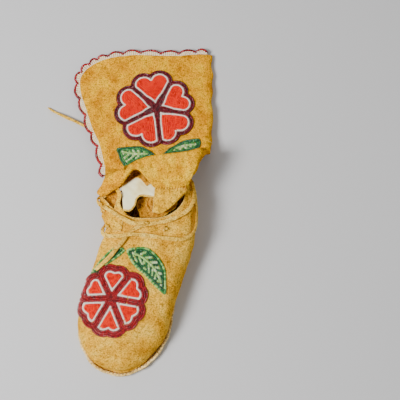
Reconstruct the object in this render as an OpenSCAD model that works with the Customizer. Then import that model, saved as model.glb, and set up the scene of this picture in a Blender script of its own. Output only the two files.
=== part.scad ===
// High-top beaded moccasin: hard sole, soft upper, cuff folded back over the heel.
// +X is the wearer's side with the cuff's folded edge, -Y points to the toe, +Z is up.

/* [Foot] */
// Length of the foot along Y, as a share of the usual size
foot_stretch = 1; // [0.95:0.01:1.05]
// Height of the ankle opening's rim at the throat
rim_height = 47; // [44:0.5:48]
// Share of the vamp's height that rises close to the seam
crown = 0.6; // [0.4:0.05:0.75]

/* [Leather] */
// Thickness of the smoked buckskin
leather = 1.6; // [1.2:0.1:2]
// Thickness of the white lining cloth
cloth = 0.8; // [0.5:0.1:1]
// Thickness of the rawhide sole
sole_thickness = 3.4; // [2.5:0.1:4]
// Height of the sole's turned-up edge above the ground
sole_rim_height = 7.8; // [6:0.2:9]

/* [Cuff] */
// Height of the flap's top edge above the ground
flap_low_z = 7; // [6:0.5:9]
// Rise of the flap for each millimetre towards the toe
flap_slope = 0.1; // [0.08:0.01:0.12]
// Height of the fold's crest above the ground
crest_z = 56; // [54:0.5:58]
// Length of one beaded scallop along the edge
scallop_pitch = 17; // [14:0.5:20]
// Depth of a scallop
scallop_depth = 3.2; // [2:0.2:4]

/* [Beadwork] */
// Thickness of a sewn layer of beads
bead_layer = 1.9; // [1.5:0.1:2.2]
// Distance between neighbouring rows of beads
bead_row = 2.1; // [1.8:0.1:2.3]
// Radius of the cuff flower's petals
cuff_flower_radius = 40; // [36:0.5:42]
// Radius of the toe flower's petals
toe_flower_radius = 30; // [28:0.5:32]

/* [Thongs] */
// Diameter of the round tube that stands for the flat ankle lace
lace_diameter = 2.4; // [2:0.2:2.6]

/* [Hidden] */

// Moves the drawing so that the origin is under the middle of its box.
origin_shift = [-1.1, 3.4, 0];
// Small step for numeric slopes, and the usual air between layers.
step = 0.002;
air = 0.3;
around = 72;

buckskin = [0.80, 0.60, 0.28];
rawhide = [0.78, 0.68, 0.45];
white_cloth = [0.93, 0.92, 0.86];
burgundy = [0.38, 0.05, 0.10];
bead_white = [0.95, 0.93, 0.90];
bead_orange = [0.92, 0.22, 0.10];
bead_green = [0.16, 0.42, 0.22];

// The foot's three outlines, one matched point each: toe first, then the right side, the heel
// and the left side. Sole edge, widest line of the upper, and rim of the ankle opening.
sole_line = [for (p = [[-20, -177], [5, -168], [24, -145], [33, -114], [37, -80], [41, -42],
    [47, -6], [46, 16.5], [28, 29.5], [9, 22.5], [-7, 0], [-17, -30], [-34, -68], [-52, -105],
    [-59, -138], [-45, -167]]) [p[0], p[1] * foot_stretch]];
widest_line = [for (p = [[-20, -175, 13], [6, -166, 13], [26, -144, 14], [36, -112, 17], [46, -80, 20],
    [56, -45, 26], [56, -10, 27], [51, 17, 25], [29, 33, 23], [6, 24.5, 25], [-14, 3, 27],
    [-29, -27, 27], [-44, -68, 22], [-58, -105, 18], [-61.5, -137, 15], [-46, -166, 13]])
    [p[0], p[1] * foot_stretch, p[2]]];
rim_drop = [0, 0, 0, 0.3, 0.7, 1.3, 2, 2.5, 3, 2.5, 1.6, 0.8, 0.4, 0.2, 0, 0];
rim_plan = [[3, -26], [12, -26], [22, -25.5], [32, -22], [41, -15], [47, -5], [48, 6.5], [42, 16.5],
    [27, 22], [10, 17.5], [-9, 7], [-20, -3], [-23, -11], [-18, -19], [-12, -23], [-5, -25.5]];
rim_line = [for (i = [0:len(rim_plan) - 1]) [rim_plan[i][0], rim_plan[i][1], rim_height - rim_drop[i]]];

// The cuff flap's four edges: along the arch and the seam, up the scalloped side, the top, and the fold.
fold_x = 70;
flap_low = [[-37.5, -3.4], [-30, -1], [-22, 3.5], [-15, 9], [-9.5, 17], [-5, 22.4], [-1, 22.6], [4, 18.5],
    [11, 10.5], [17, 4.2], [27, 4.2], [38, 4.2], [49, 4.2]];
flap_left = [[-37.5, -3.4], [-42.6, 1.5], [-36.5, 9.5], [-36, 22], [-39, 39], [-45.5, 62], [-53, 78],
    [-61, 101], [-68, 121], [-69, 138], [-63, 149], [-54, 156]];
flap_top = [[-54, 156], [-45, 160], [-29, 164], [-10, 166], [14, 165.5], [36, 165.5], [56, 167],
    [fold_x, 167]];
flap_right = [[49, 4.2], [54, 16], [59, 28], [64, 39], [68.5, 51], [fold_x, 68], [fold_x, 105],
    [fold_x, 167]];
// The lining's edges: the first one is the curved edge that shows inside the ankle opening.
lining_low = [[-15, -17], [-9, -18], [-4, -13], [-2, -6], [2, -2.5], [9, -3], [17, -4], [26, -3], [34, -1]];
lining_left = [[-15, -17], [-17, 4], [-19, 22], [-30, 50], [-50, 92], [-60, 125], [-50, 154]];
lining_top = [[-50, 154], [-29, 160], [14, 162], [fold_x - 1, 163]];
lining_right = [[34, -1], [42, 16], [50, 32], [60, 46], [67, 62], [fold_x - 1, 105], [fold_x - 1, 163]];
back_low = [[-12, 11], [8, 19.5], [27, 24], [42, 18.5], [48, 9]];
back_left = [[-12, 11], [-24, 34], [-42, 70], [-56, 105], [-62, 128], [-52, 155]];
back_top = [[-52, 155], [-29, 161], [14, 163], [fold_x, 164]];
back_right = [[48, 9], [55, 26], [63, 43], [69, 62], [fold_x, 105], [fold_x, 164]];
tab_low = [[15, -20], [23, -21.5], [34, -14.5], [48, 0]];
tab_top = [[17, 3.6], [27, 3.6], [38, 3.6], [49, 3.6]];

// Routes of the thongs. The ankle lace starts at its free tail, goes twice round the ankle and ends
// at its knot.
lace_route = [[-41.5, -77, 43.8], [-35.5, -71.8, 45.2], [-28, -65, 46.8], [-20.5, -56, 47.8],
    [-14, -47.5, 47.4], [-9, -41, 47.2],
    [-2, -36, 47.8], [7, -32.5, 48.2], [16, -31, 48.2], [31, -28, 47.9], [41, -23.5, 47.2],
    [50, -17, 45.8], [54.6, -9, 43], [56, 0, 39.4], [54.8, 9.5, 35.8], [50.8, 19, 32.2], [42, 28, 30],
    [30.5, 34, 28.8], [17.5, 32.6, 28.6], [5, 25.4, 29.8], [-10.6, 10.6, 31.6], [-23, -7, 33.4],
    [-31.5, -24, 35.4], [-36, -35, 38.6], [-35, -41, 42.4], [-28, -43.6, 45.8], [-18, -43.8, 48.6],
    [-9, -42.4, 50.2], [0, -42.4, 48.8], [11, -43.2, 47.4], [31, -46, 45.8], [44, -46, 43.2],
    [53.6, -41, 40], [57.8, -32, 37.4], [58.6, -20, 34.6], [57.8, -7, 31.8], [56, 7, 28],
    [50, 21, 25], [38.8, 31.2, 23.2], [27, 35, 22.6], [13, 31.4, 23.4], [-0.5, 22, 25.6],
    [-13.5, 10, 28.6], [-26, 1, 34.6], [-36, -1.5, 39.5], [-42, -5, 42], [-40, -10, 43.6],
    [-34, -14, 45.8], [-26, -19.4, 47.8], [-17, -25, 49], [-9.5, -29.4, 49.8]];
cuff_tie_route = [[-50, 77, 13], [-56, 80, 9.6], [-64, 84, 6.6], [-75, 90, 5.2], [-84, 94, 5.4],
    [-92, 98, 4.6], [-99, 102, 2.6], [-106, 107, 1.4]];
inner_tie_route = [[-52, 108, 5.4], [-40, 102, 5.6], [-26, 96, 5.4], [-12, 92, 5.6], [2, 92, 5.4],
    [14, 96, 5.4]];
tie_diameter = 2;

// The beadwork's places on the toe and on the cuff.
// A flower is its centre, its petals (direction and share of the radius), its radius, how full the hearts'
// notches are, half the gap between two hearts and how many rows of beads go round them.
toe_flower = [[-26, -104.5], [[82, 0.88], [150, 0.84], [213, 1], [265, 1.06], [320, 1], [20, 1]],
    toe_flower_radius, 4.6, 3, 3];
cuff_flower = [[14.8, 102], [[101, 0.99], [174.5, 1.02], [244, 1.02], [309.5, 1], [26, 0.91]],
    cuff_flower_radius, 3.2, 2.2, 2];
toe_leaf_right_line = [[-10.5, -57], [-1.5, -54.5], [9, -55], [16, -59.5], [22.5, -67], [27.5, -77],
    [28, -88], [27, -100.5], [16, -91.5], [7.5, -82.5], [-3, -73], [-8.5, -65]];
toe_leaf_left_line = [[-12.5, -56.5], [-18, -54.5], [-27, -57], [-37, -67], [-43, -74.5], [-48.5, -83],
    [-53, -94], [-46, -88.5], [-38, -79.5], [-31, -72.5], [-21.5, -65.5], [-14.5, -60]];
cuff_leaf_left_line = [[15.5, 44.5], [9.5, 51], [-0.5, 56.5], [-13, 57], [-26, 55], [-24.5, 48], [-21.5, 40],
    [-14.5, 32.5], [-5, 38], [5, 42]];
cuff_leaf_right_line = [[23, 47], [32, 56], [42, 62.5], [52, 65.5], [62, 65], [61, 54.5], [48, 49.5],
    [35, 47]];

// Curves -------------------------------------------------------------------------------------
function mix(a, b, t) = a + (b - a) * t;
function clamp01(t) = max(0, min(1, t));
function smooth(t) = let (c = clamp01(t)) c * c * (3 - 2 * c);
function cubic(a, b, c, d, t) = 0.5 * (2 * b + (c - a) * t + (2 * a - 5 * b + 4 * c - d) * t * t
    + (3 * b - a - 3 * c + d) * t * t * t);
function nth(points, i) = points[(i + len(points)) % len(points)];
function loop_at(points, u) = let (s = (u - floor(u)) * len(points), i = floor(s))
    cubic(nth(points, i - 1), nth(points, i), nth(points, i + 1), nth(points, i + 2), s - i);
function path_end(points, i) = i < 0 ? 2 * points[0] - points[1]
    : i >= len(points) ? 2 * points[len(points) - 1] - points[len(points) - 2] : points[i];
function path_at(points, u) = let (s = clamp01(u) * (len(points) - 1), i = min(floor(s), len(points) - 2))
    cubic(path_end(points, i - 1), points[i], points[i + 1], path_end(points, i + 2), s - i);
function unit(v) = v / norm(v);
function outward(points, u) = let (d = loop_at(points, u + step) - loop_at(points, u - step))
    unit([d[1], -d[0]]);
function loop_outline(points, count) = [for (k = [0:count - 1]) loop_at(points, k / count)];
function sole_outline(grow) = [for (k = [0:around - 1])
    loop_at(sole_line, k / around) + grow * outward(sole_line, k / around)];

// The upper's skin: u goes round the foot and v goes up from the sole to the rim.
turn_share = 0.25;
function rise(s) = crown * pow(1 - pow(1 - s, 6), 0.6) + (1 - crown) * s;
wall_share = 0.32;
wall_top = sole_rim_height + 1.4;
function skin_low(u, a) = let (s = loop_at(sole_line, u), w = loop_at(widest_line, u),
        b = max(0, a - wall_share) / (1 - wall_share))
    [mix(s[0], w[0], sin(90 * b)), mix(s[1], w[1], sin(90 * b)),
     a < wall_share ? mix(sole_thickness + 0.1, wall_top, a / wall_share)
         : mix(wall_top, w[2], 1 - cos(90 * b))];
function skin_high(u, s) = let (w = loop_at(widest_line, u), r = loop_at(rim_line, u))
    [mix(w[0], r[0], s), mix(w[1], r[1], s), mix(w[2], r[2], rise(s))];
function skin_at(u, v) = v < turn_share ? skin_low(u, v / turn_share)
    : skin_high(u, pow((v - turn_share) / (1 - turn_share), 1.7));
function skin_normal(u, v) = let (low = max(v - 0.02, 0), high = min(v + 0.02, 1))
    unit(cross(skin_at(u + 0.004, v) - skin_at(u - 0.004, v), skin_at(u, high) - skin_at(u, low)));
function skin_lift(u, v, lift) = skin_at(u, v) + lift * skin_normal(u, v);
skin_rows = [0, 0.08, 0.13, 0.18, 0.25, 0.33, 0.42, 0.52, 0.64, 0.76, 0.88, 1];
function skin_rings(rows, lift) = [for (v = rows) [for (k = [0:around - 1]) skin_lift(k / around, v, lift)]];

// The cuff: heights above the ground of the flap's top and the lining's top.
crest_left = [-13, 25];
crest_right = [20, 38];
function crest_y(x) = let (e = x - crest_right[0])
    x < crest_left[0] ? crest_left[1] + 0.6 * (x - crest_left[0])
    : crest_right[1] + 0.1237 * e - 0.00403 * e * e + 0.000126 * e * e * e;
function left_of(x) = max(0, -12 - x);
function shoulder(x) = 30 + (crest_z - 30) * exp(-pow(left_of(x) / 38, 2))
    * exp(-pow(max(0, x - 50) / 16, 2));
crest_lead = 3;
cliff_width = 10;
cliff_share = 0.8;
function drop(x, t) = cliff_share * (1 - smooth(t / (cliff_width + left_of(x))))
    + (1 - cliff_share) * exp(-pow(max(0, t) / 20, 2));
function dip(t) = 2.2 * (1 - exp(-pow(min(0, t) / 15, 2)));
function flap_z(x, y) = let (t = y - crest_y(x) + crest_lead,
        base = flap_low_z + max(0, 170 - y) * flap_slope)
    base + (shoulder(x) - base) * drop(x, t) - dip(t);
lining_floor = 3.2;
lining_below = 6;
lining_inside = 6;
function lining_z(x, y) = let (t = y - crest_y(x))
    lining_floor + (shoulder(x) - lining_below - lining_floor) * drop(x, t + lining_inside) - dip(t);
function coons(low, high, left, right, a, b) = let (
        l = path_at(low, a), h = path_at(high, a), f = path_at(left, b), r = path_at(right, b),
        corners = (1 - a) * (1 - b) * low[0] + a * (1 - b) * low[len(low) - 1]
            + (1 - a) * b * high[0] + a * b * high[len(high) - 1])
    (1 - b) * l + b * h + (1 - a) * f + a * r - corners;

// Beadwork outlines -----------------------------------------------------------------------------
heart_wide = 1.02;
function heart_at(t, length, fill) = let (k = length / 29, side = t > 180 ? t - 360 : t)
    [k * (17 + 13 * cos(t) - 5 * cos(2 * t) - 2 * cos(3 * t) - cos(4 * t)) + fill * exp(-pow(side / 30, 2)),
     k * 16 * heart_wide * pow(sin(t), 3)];
function turned(p, angle) = [p[0] * cos(angle) - p[1] * sin(angle), p[0] * sin(angle) + p[1] * cos(angle)];
function petal(flower, angle, start, length) = [for (k = [0:23])
    flower[0] + turned(heart_at(k * 15 + 7.5, length, flower[3]) + [start, 0], angle)];
function turn(a, b) = (b - a + 360) % 360;

// Solids ------------------------------------------------------------------------------------------
function quad(a, b, c, d) = [[a, b, c], [a, c, d]];
function joined(lists) = [for (one = lists) for (item = one) item];

// A closed band between two sets of rings: outer skin, inner skin, and the two rims.
module band(outer, inner) {
    rows = len(outer);
    n = len(outer[0]);
    m = rows * n;
    points = concat(joined(outer), joined(inner));
    function at(side, i, k) = side * m + i * n + (k % n);
    faces = joined(concat(
        [for (i = [0:rows - 2]) for (k = [0:n - 1])
            quad(at(0, i, k), at(0, i + 1, k), at(0, i + 1, k + 1), at(0, i, k + 1))],
        [for (i = [0:rows - 2]) for (k = [0:n - 1])
            quad(at(1, i, k), at(1, i, k + 1), at(1, i + 1, k + 1), at(1, i + 1, k))],
        [for (k = [0:n - 1]) quad(at(0, 0, k), at(0, 0, k + 1), at(1, 0, k + 1), at(1, 0, k))],
        [for (k = [0:n - 1]) quad(at(0, rows - 1, k), at(1, rows - 1, k), at(1, rows - 1, k + 1),
            at(0, rows - 1, k + 1))]));
    polyhedron(points, faces, convexity = 8);
}

// A closed slab between two open grids of points, upper and lower.
module slab(upper, lower) {
    rows = len(upper);
    n = len(upper[0]);
    m = rows * n;
    points = concat(joined(upper), joined(lower));
    function at(side, i, k) = side * m + i * n + k;
    faces = joined(concat(
        [for (i = [0:rows - 2]) for (k = [0:n - 2])
            quad(at(0, i, k), at(0, i + 1, k), at(0, i + 1, k + 1), at(0, i, k + 1))],
        [for (i = [0:rows - 2]) for (k = [0:n - 2])
            quad(at(1, i, k), at(1, i, k + 1), at(1, i + 1, k + 1), at(1, i + 1, k))],
        [for (k = [0:n - 2]) quad(at(0, 0, k), at(0, 0, k + 1), at(1, 0, k + 1), at(1, 0, k))],
        [for (k = [0:n - 2]) quad(at(0, rows - 1, k + 1), at(0, rows - 1, k), at(1, rows - 1, k),
            at(1, rows - 1, k + 1))],
        [for (i = [0:rows - 2]) quad(at(0, i + 1, 0), at(0, i, 0), at(1, i, 0), at(1, i + 1, 0))],
        [for (i = [0:rows - 2]) quad(at(0, i, n - 1), at(0, i + 1, n - 1), at(1, i + 1, n - 1),
            at(1, i, n - 1))]));
    polyhedron(points, faces, convexity = 8);
}

// A tube along a route, for a thong.
module thong(route, diameter, rings) {
    sides = 8;
    centres = [for (i = [0:rings]) path_at(route, i / rings)];
    ahead = [for (i = [0:rings]) unit(path_at(route, (i + 0.2) / rings) - path_at(route, (i - 0.2) / rings))];
    right = [for (d = ahead) unit(cross(d, [0.05, 0.02, 1]))];
    points = [for (i = [0:rings]) for (k = [0:sides - 1])
        centres[i] + diameter / 2 * (cos(360 * k / sides) * right[i]
            + sin(360 * k / sides) * cross(right[i], ahead[i]))];
    function at(i, k) = i * sides + k % sides;
    faces = concat(joined([for (i = [0:rings - 1]) for (k = [0:sides - 1])
            quad(at(i, k), at(i, k + 1), at(i + 1, k + 1), at(i + 1, k))]),
        [[for (k = [sides - 1:-1:0]) at(0, k)]], [[for (k = [0:sides - 1]) at(rings, k)]]);
    polyhedron(points, faces, convexity = 8);
}

// A sheet of the cuff under the flap's height: the lining's, or the back panel's, which is nearer
// to the heel.
back_inside = 1.4;
module sheet(low, high, left, right, columns, rows, z_kind, down, thick) {
    grid = [for (j = [0:rows]) [for (i = [0:columns])
        coons(low, high, left, right, i / columns, j / rows)]];
    function height(p) = (z_kind == "flap" ? flap_z(p[0], p[1])
        : z_kind == "lining" ? lining_z(p[0], p[1]) : lining_z(p[0], p[1] + back_inside)) - down;
    slab([for (row = grid) [for (p = row) [p[0], p[1], height(p)]]],
         [for (row = grid) [for (p = row) [p[0], p[1], height(p) - thick]]]);
}

// Layers in which the beads lie, just above the vamp and just above the flap.
bead_gap = 0.15;
flap_columns = 20;
flap_rows = 28;
module vamp_bead_layer() {
    rows = [0.25, 0.33, 0.42, 0.52, 0.64, 0.76, 0.88, 0.98];
    band(skin_rings(rows, bead_gap + bead_layer), skin_rings(rows, bead_gap));
}
module flap_bead_layer() {
    sheet(flap_low, flap_top, flap_left, flap_right, flap_columns, flap_rows, "flap",
        -bead_gap - bead_layer, bead_layer);
}

bead_top = 70;
module on_vamp() {
    intersection() {
        vamp_bead_layer();
        linear_extrude(height = bead_top) children();
    }
}
module on_flap() {
    intersection() {
        flap_bead_layer();
        linear_extrude(height = bead_top) children();
    }
}

// Flowers: hearts round a centre. The border is one row of beads and the outline is the rows outside it.
petal_start = 4.5;
seam_gap = 0.1;
module petals(flower, inset) {
    list = flower[1];
    for (i = [0:len(list) - 1]) {
        before = turn(nth(list, i - 1)[0], list[i][0]) / 2;
        after = turn(list[i][0], nth(list, i + 1)[0]) / 2;
        intersection() {
            polygon(petal(flower, list[i][0], petal_start + 1.7 * inset,
                flower[2] * list[i][1] - petal_start - 2.4 * inset));
            sector(flower[0], list[i][0], before, after, flower[4] + inset);
        }
    }
}
// A wedge from a centre, its two sides a gap inside the lines before and after its direction.
module sector(centre, angle, before, after, gap) {
    reach = 70;
    tip = centre + gap / sin((before + after) / 2) * [cos(angle), sin(angle)];
    polygon([tip, for (side = [angle - before, angle, angle + after]) tip + reach * [cos(side), sin(side)]]);
}
module flower_fill(flower) { petals(flower, bead_row + seam_gap); }
module flower_border(flower) {
    difference() {
        petals(flower, 0);
        petals(flower, bead_row);
    }
}
module flower_outline(flower) {
    difference() {
        union() {
            petals(flower, -flower[5] * bead_row);
            translate(flower[0]) circle(r = flower[2] / 3, $fn = 24);
        }
        petals(flower, -seam_gap);
    }
}

// Foot ---------------------------------------------------------------------------------------------
module sole() {
    color(rawhide) {
        linear_extrude(height = sole_thickness) polygon(sole_outline(2.4));
        translate([0, 0, sole_thickness])
            linear_extrude(height = sole_rim_height - sole_thickness)
                difference() {
                    polygon(sole_outline(2.4));
                    polygon(sole_outline(0.9));
                }
    }
}

stitch_radius = 0.4;
module sole_stitching() {
    stitches = 96;
    color(bead_white)
        for (k = [0:stitches - 1]) {
            p = loop_at(sole_line, k / stitches) + 1.7 * outward(sole_line, k / stitches);
            translate([p[0], p[1], sole_rim_height + 0.1]) cylinder(h = 1, r = stitch_radius, $fn = 8);
        }
}

module upper() {
    color(buckskin) band(skin_rings(skin_rows, 0), skin_rings(skin_rows, -leather));
}

module heel_stitching() {
    heel_u = 0.5;
    heel_stitch_air = 0.6;
    stitch_rows = [0.125, 0.148, 0.171, 0.194, 0.217, 0.45, 0.49, 0.53];
    color(rawhide)
        for (row = stitch_rows) {
            p = skin_lift(heel_u, row, stitch_radius + heel_stitch_air);
            translate(p) rotate([0, 90, 20]) cylinder(h = 4, r = stitch_radius, center = true, $fn = 8);
        }
}

module ankle_lace() { color(buckskin) thong(lace_route, lace_diameter, 66); }

module toe_flower_outline() { color(burgundy) on_vamp() flower_outline(toe_flower); }
module toe_flower_border() { color(bead_white) on_vamp() flower_border(toe_flower); }
module toe_flower_fill() { color(bead_orange) on_vamp() flower_fill(toe_flower); }
module leaf(line) { polygon(loop_outline(line, 30)); }
module toe_leaf_right() { color(bead_green) on_vamp() leaf(toe_leaf_right_line); }
// The left leaf goes under the flower, so its beads stop at the flower's edge.
leaf_gap = 0.5;
module toe_leaf_left() {
    color(bead_green) on_vamp() difference() {
        leaf(toe_leaf_left_line);
        offset(r = leaf_gap) petals(toe_flower, -toe_flower[5] * bead_row);
    }
}

// Cuff -----------------------------------------------------------------------------------------------
module cuff_back() {
    color(buckskin)
        sheet(back_low, back_top, back_left, back_right, 14, 26, "back", cloth + air, leather);
}
module cuff_lining() {
    color(white_cloth)
        sheet(lining_low, lining_top, lining_left, lining_right, 14, 26, "lining", 0, cloth);
}

// The rounded fold that joins the back panel to the flap.
fold_width = 6.8;
module cuff_fold() {
    columns = 8;
    ys = [for (j = [0:12]) mix(72, 164, j / 12)];
    function fold_ring(y, inset) = let (top = flap_z(fold_x, y) - inset,
            bottom = lining_z(fold_x, y) - cloth - air - leather + inset,
            middle = (top + bottom) / 2, half = (top - bottom) / 2)
        [for (k = [0:columns]) let (t = mix(90, -90, k / columns))
            [fold_x + air + (fold_width - inset) * cos(t), y, middle + half * sin(t)]];
    color(buckskin)
        slab([for (y = ys) fold_ring(y, 0)], [for (y = ys) fold_ring(y, leather)]);
}
module inner_tie() { color(buckskin) thong(inner_tie_route, tie_diameter, 10); }

// Flap -------------------------------------------------------------------------------------------------
module cuff_flap() {
    color(buckskin)
        sheet(flap_low, flap_top, flap_left, flap_right, flap_columns, flap_rows, "flap", 0, leather);
}
module ankle_tab() {
    tab_left = [tab_low[0], tab_top[0]];
    tab_right = [tab_low[3], tab_top[3]];
    color(buckskin) sheet(tab_low, tab_top, tab_left, tab_right, 10, 6, "flap", 0.2, leather);
}
module tab_stitching() {
    stitches = 9;
    color(rawhide)
        for (k = [0:stitches - 1]) {
            x = mix(19, 47, k / (stitches - 1));
            translate([x, 3.9, flap_z(x, 3.9) + stitch_radius + 0.25])
                rotate([90, 0, 12]) cylinder(h = 3.2, r = stitch_radius, center = true, $fn = 8);
        }
}
module cuff_tie() { color(buckskin) thong(cuff_tie_route, tie_diameter, 12); }

// Scalloped edging along the free side and the top, outside the leather's edge.
edging_line = concat([for (i = [3:len(flap_left) - 1]) flap_left[i]],
    [for (i = [1:len(flap_top) - 1]) flap_top[i]]);
scallops = 16;
edging_steps = scallops * 6;
edging_inner = 0.25;
edging_base = 2;
edging_red = 1.6;
function edge_side(u) = let (d = path_at(edging_line, min(1, u + 0.01))
        - path_at(edging_line, max(0, u - 0.01)))
    unit([-d[1], d[0]]);
function scallop_reach(u) = edging_base + scallop_depth * abs(sin(180 * scallops * u));
function edging_point(u, out, up) = let (p = path_at(edging_line, u), q = p + out * edge_side(u))
    [q[0], q[1], flap_z(p[0], p[1]) + up];
module edging_strip(from_share, from_add, to_share, to_add) {
    function strip(up) = [for (k = [0:edging_steps]) let (u = k / edging_steps)
        [edging_point(u, from_share * scallop_reach(u) + from_add, up),
         edging_point(u, to_share * scallop_reach(u) + to_add, up)]];
    slab(strip(-1.9), strip(0));
}
module edging_white_beads() { color(bead_white) edging_strip(0, edging_inner, 1, 0); }
module edging_red_beads() { color(burgundy) edging_strip(1, 0.1, 1, edging_red); }

module cuff_flower_outline() { color(burgundy) on_flap() flower_outline(cuff_flower); }
module cuff_flower_border() { color(bead_white) on_flap() flower_border(cuff_flower); }
module cuff_flower_fill() { color(bead_orange) on_flap() flower_fill(cuff_flower); }
module cuff_leaf_left() { color(bead_green) on_flap() leaf(cuff_leaf_left_line); }
module cuff_leaf_right() { color(bead_green) on_flap() leaf(cuff_leaf_right_line); }

translate(origin_shift) sole();
translate(origin_shift) sole_stitching();
translate(origin_shift) upper();
translate(origin_shift) heel_stitching();
translate(origin_shift) ankle_lace();
translate(origin_shift) toe_flower_outline();
translate(origin_shift) toe_flower_border();
translate(origin_shift) toe_flower_fill();
translate(origin_shift) toe_leaf_right();
translate(origin_shift) toe_leaf_left();
translate(origin_shift) cuff_back();
translate(origin_shift) cuff_lining();
translate(origin_shift) cuff_fold();
translate(origin_shift) inner_tie();
translate(origin_shift) cuff_flap();
translate(origin_shift) ankle_tab();
translate(origin_shift) tab_stitching();
translate(origin_shift) cuff_tie();
translate(origin_shift) edging_white_beads();
translate(origin_shift) edging_red_beads();
translate(origin_shift) cuff_flower_outline();
translate(origin_shift) cuff_flower_border();
translate(origin_shift) cuff_flower_fill();
translate(origin_shift) cuff_leaf_left();
translate(origin_shift) cuff_leaf_right();
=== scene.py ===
import math

import bmesh
import bpy
import numpy as np
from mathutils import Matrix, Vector
from mathutils.bvhtree import BVHTree


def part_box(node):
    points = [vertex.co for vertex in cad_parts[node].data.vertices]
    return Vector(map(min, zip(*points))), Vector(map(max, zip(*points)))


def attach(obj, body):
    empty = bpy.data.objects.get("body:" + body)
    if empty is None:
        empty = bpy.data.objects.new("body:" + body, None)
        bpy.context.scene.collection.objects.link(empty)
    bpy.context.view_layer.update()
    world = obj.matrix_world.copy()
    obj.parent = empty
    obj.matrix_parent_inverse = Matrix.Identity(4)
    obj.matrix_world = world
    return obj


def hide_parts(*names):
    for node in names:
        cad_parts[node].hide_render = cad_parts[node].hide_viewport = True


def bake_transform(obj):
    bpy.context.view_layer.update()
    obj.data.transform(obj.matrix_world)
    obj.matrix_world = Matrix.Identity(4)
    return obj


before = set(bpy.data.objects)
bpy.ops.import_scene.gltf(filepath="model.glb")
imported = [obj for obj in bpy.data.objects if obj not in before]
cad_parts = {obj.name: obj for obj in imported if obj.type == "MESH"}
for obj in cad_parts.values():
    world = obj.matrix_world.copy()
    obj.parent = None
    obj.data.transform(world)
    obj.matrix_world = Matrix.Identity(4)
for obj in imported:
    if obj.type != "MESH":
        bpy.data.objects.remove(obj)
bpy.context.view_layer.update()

# ---------------------------------------------------------------------------------------------
# The shoe's lines, in millimetres, as the CAD source has them. Only the lace runs further, at its
# knot end. Many of the points are rounded from what scratch scripts worked out from places picked
# on the photograph: see "Rules not met" in report.md.
# ---------------------------------------------------------------------------------------------
SOLE = [[-20, -177], [5, -168], [24, -145], [33, -114], [37, -80], [41, -42], [47, -6], [46, 16.5],
        [28, 29.5], [9, 22.5], [-7, 0], [-17, -30], [-34, -68], [-52, -105], [-59, -138], [-45, -167]]
WIDEST = [[-20, -175, 13], [6, -166, 13], [26, -144, 14], [36, -112, 17], [46, -80, 20],
          [56, -45, 26], [56, -10, 27], [51, 17, 25], [29, 33, 23], [6, 24.5, 25], [-14, 3, 27],
          [-29, -27, 27], [-44, -68, 22], [-58, -105, 18], [-61.5, -137, 15], [-46, -166, 13]]
RIM = [[3, -26, 47], [12, -26, 47], [22, -25.5, 47], [32, -22, 46.7], [41, -15, 46.3], [47, -5, 45.7],
       [48, 6.5, 45], [42, 16.5, 44.5], [27, 22, 44], [10, 17.5, 44.5], [-9, 7, 45.4], [-20, -3, 46.2],
       [-23, -11, 46.6], [-18, -19, 46.8], [-12, -23, 47], [-5, -25.5, 47]]
FLAP_LOW = [[-37.5, -3.4], [-30, -1], [-22, 3.5], [-15, 9], [-9.5, 17], [-5, 22.4], [-1, 22.6],
            [4, 18.5], [11, 10.5], [17, 4.2], [27, 4.2], [38, 4.2], [49, 4.2]]
FLAP_LEFT = [[-37.5, -3.4], [-42.6, 1.5], [-36.5, 9.5], [-36, 22], [-39, 39], [-45.5, 62], [-53, 78],
             [-61, 101], [-68, 121], [-69, 138], [-63, 149], [-54, 156]]
FLAP_TOP = [[-54, 156], [-45, 160], [-29, 164], [-10, 166], [14, 165.5], [36, 165.5], [56, 167],
            [70, 167]]
FLAP_RIGHT = [[49, 4.2], [54, 16], [59, 28], [64, 39], [68.5, 51], [70, 68], [70, 105], [70, 167]]
LINING_LOW = [[-15, -17], [-9, -18], [-4, -13], [-2, -6], [2, -2.5], [9, -3], [17, -4], [26, -3],
              [34, -1]]
LINING_LEFT = [[-15, -17], [-17, 4], [-19, 22], [-30, 50], [-50, 92], [-60, 125], [-50, 154]]
LINING_TOP = [[-50, 154], [-29, 160], [14, 162], [69, 163]]
LINING_RIGHT = [[34, -1], [42, 16], [50, 32], [60, 46], [67, 62], [69, 105], [69, 163]]
BACK_LOW = [[-12, 11], [8, 19.5], [27, 24], [42, 18.5], [48, 9]]
BACK_LEFT = [[-12, 11], [-24, 34], [-42, 70], [-56, 105], [-62, 128], [-52, 155]]
BACK_TOP = [[-52, 155], [-29, 161], [14, 163], [70, 164]]
BACK_RIGHT = [[48, 9], [55, 26], [63, 43], [69, 62], [70, 105], [70, 164]]
TAB_LOW = [[15, -20], [23, -21.5], [34, -14.5], [48, 0]]
TAB_TOP = [[17, 3.6], [27, 3.6], [38, 3.6], [49, 3.6]]
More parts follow.
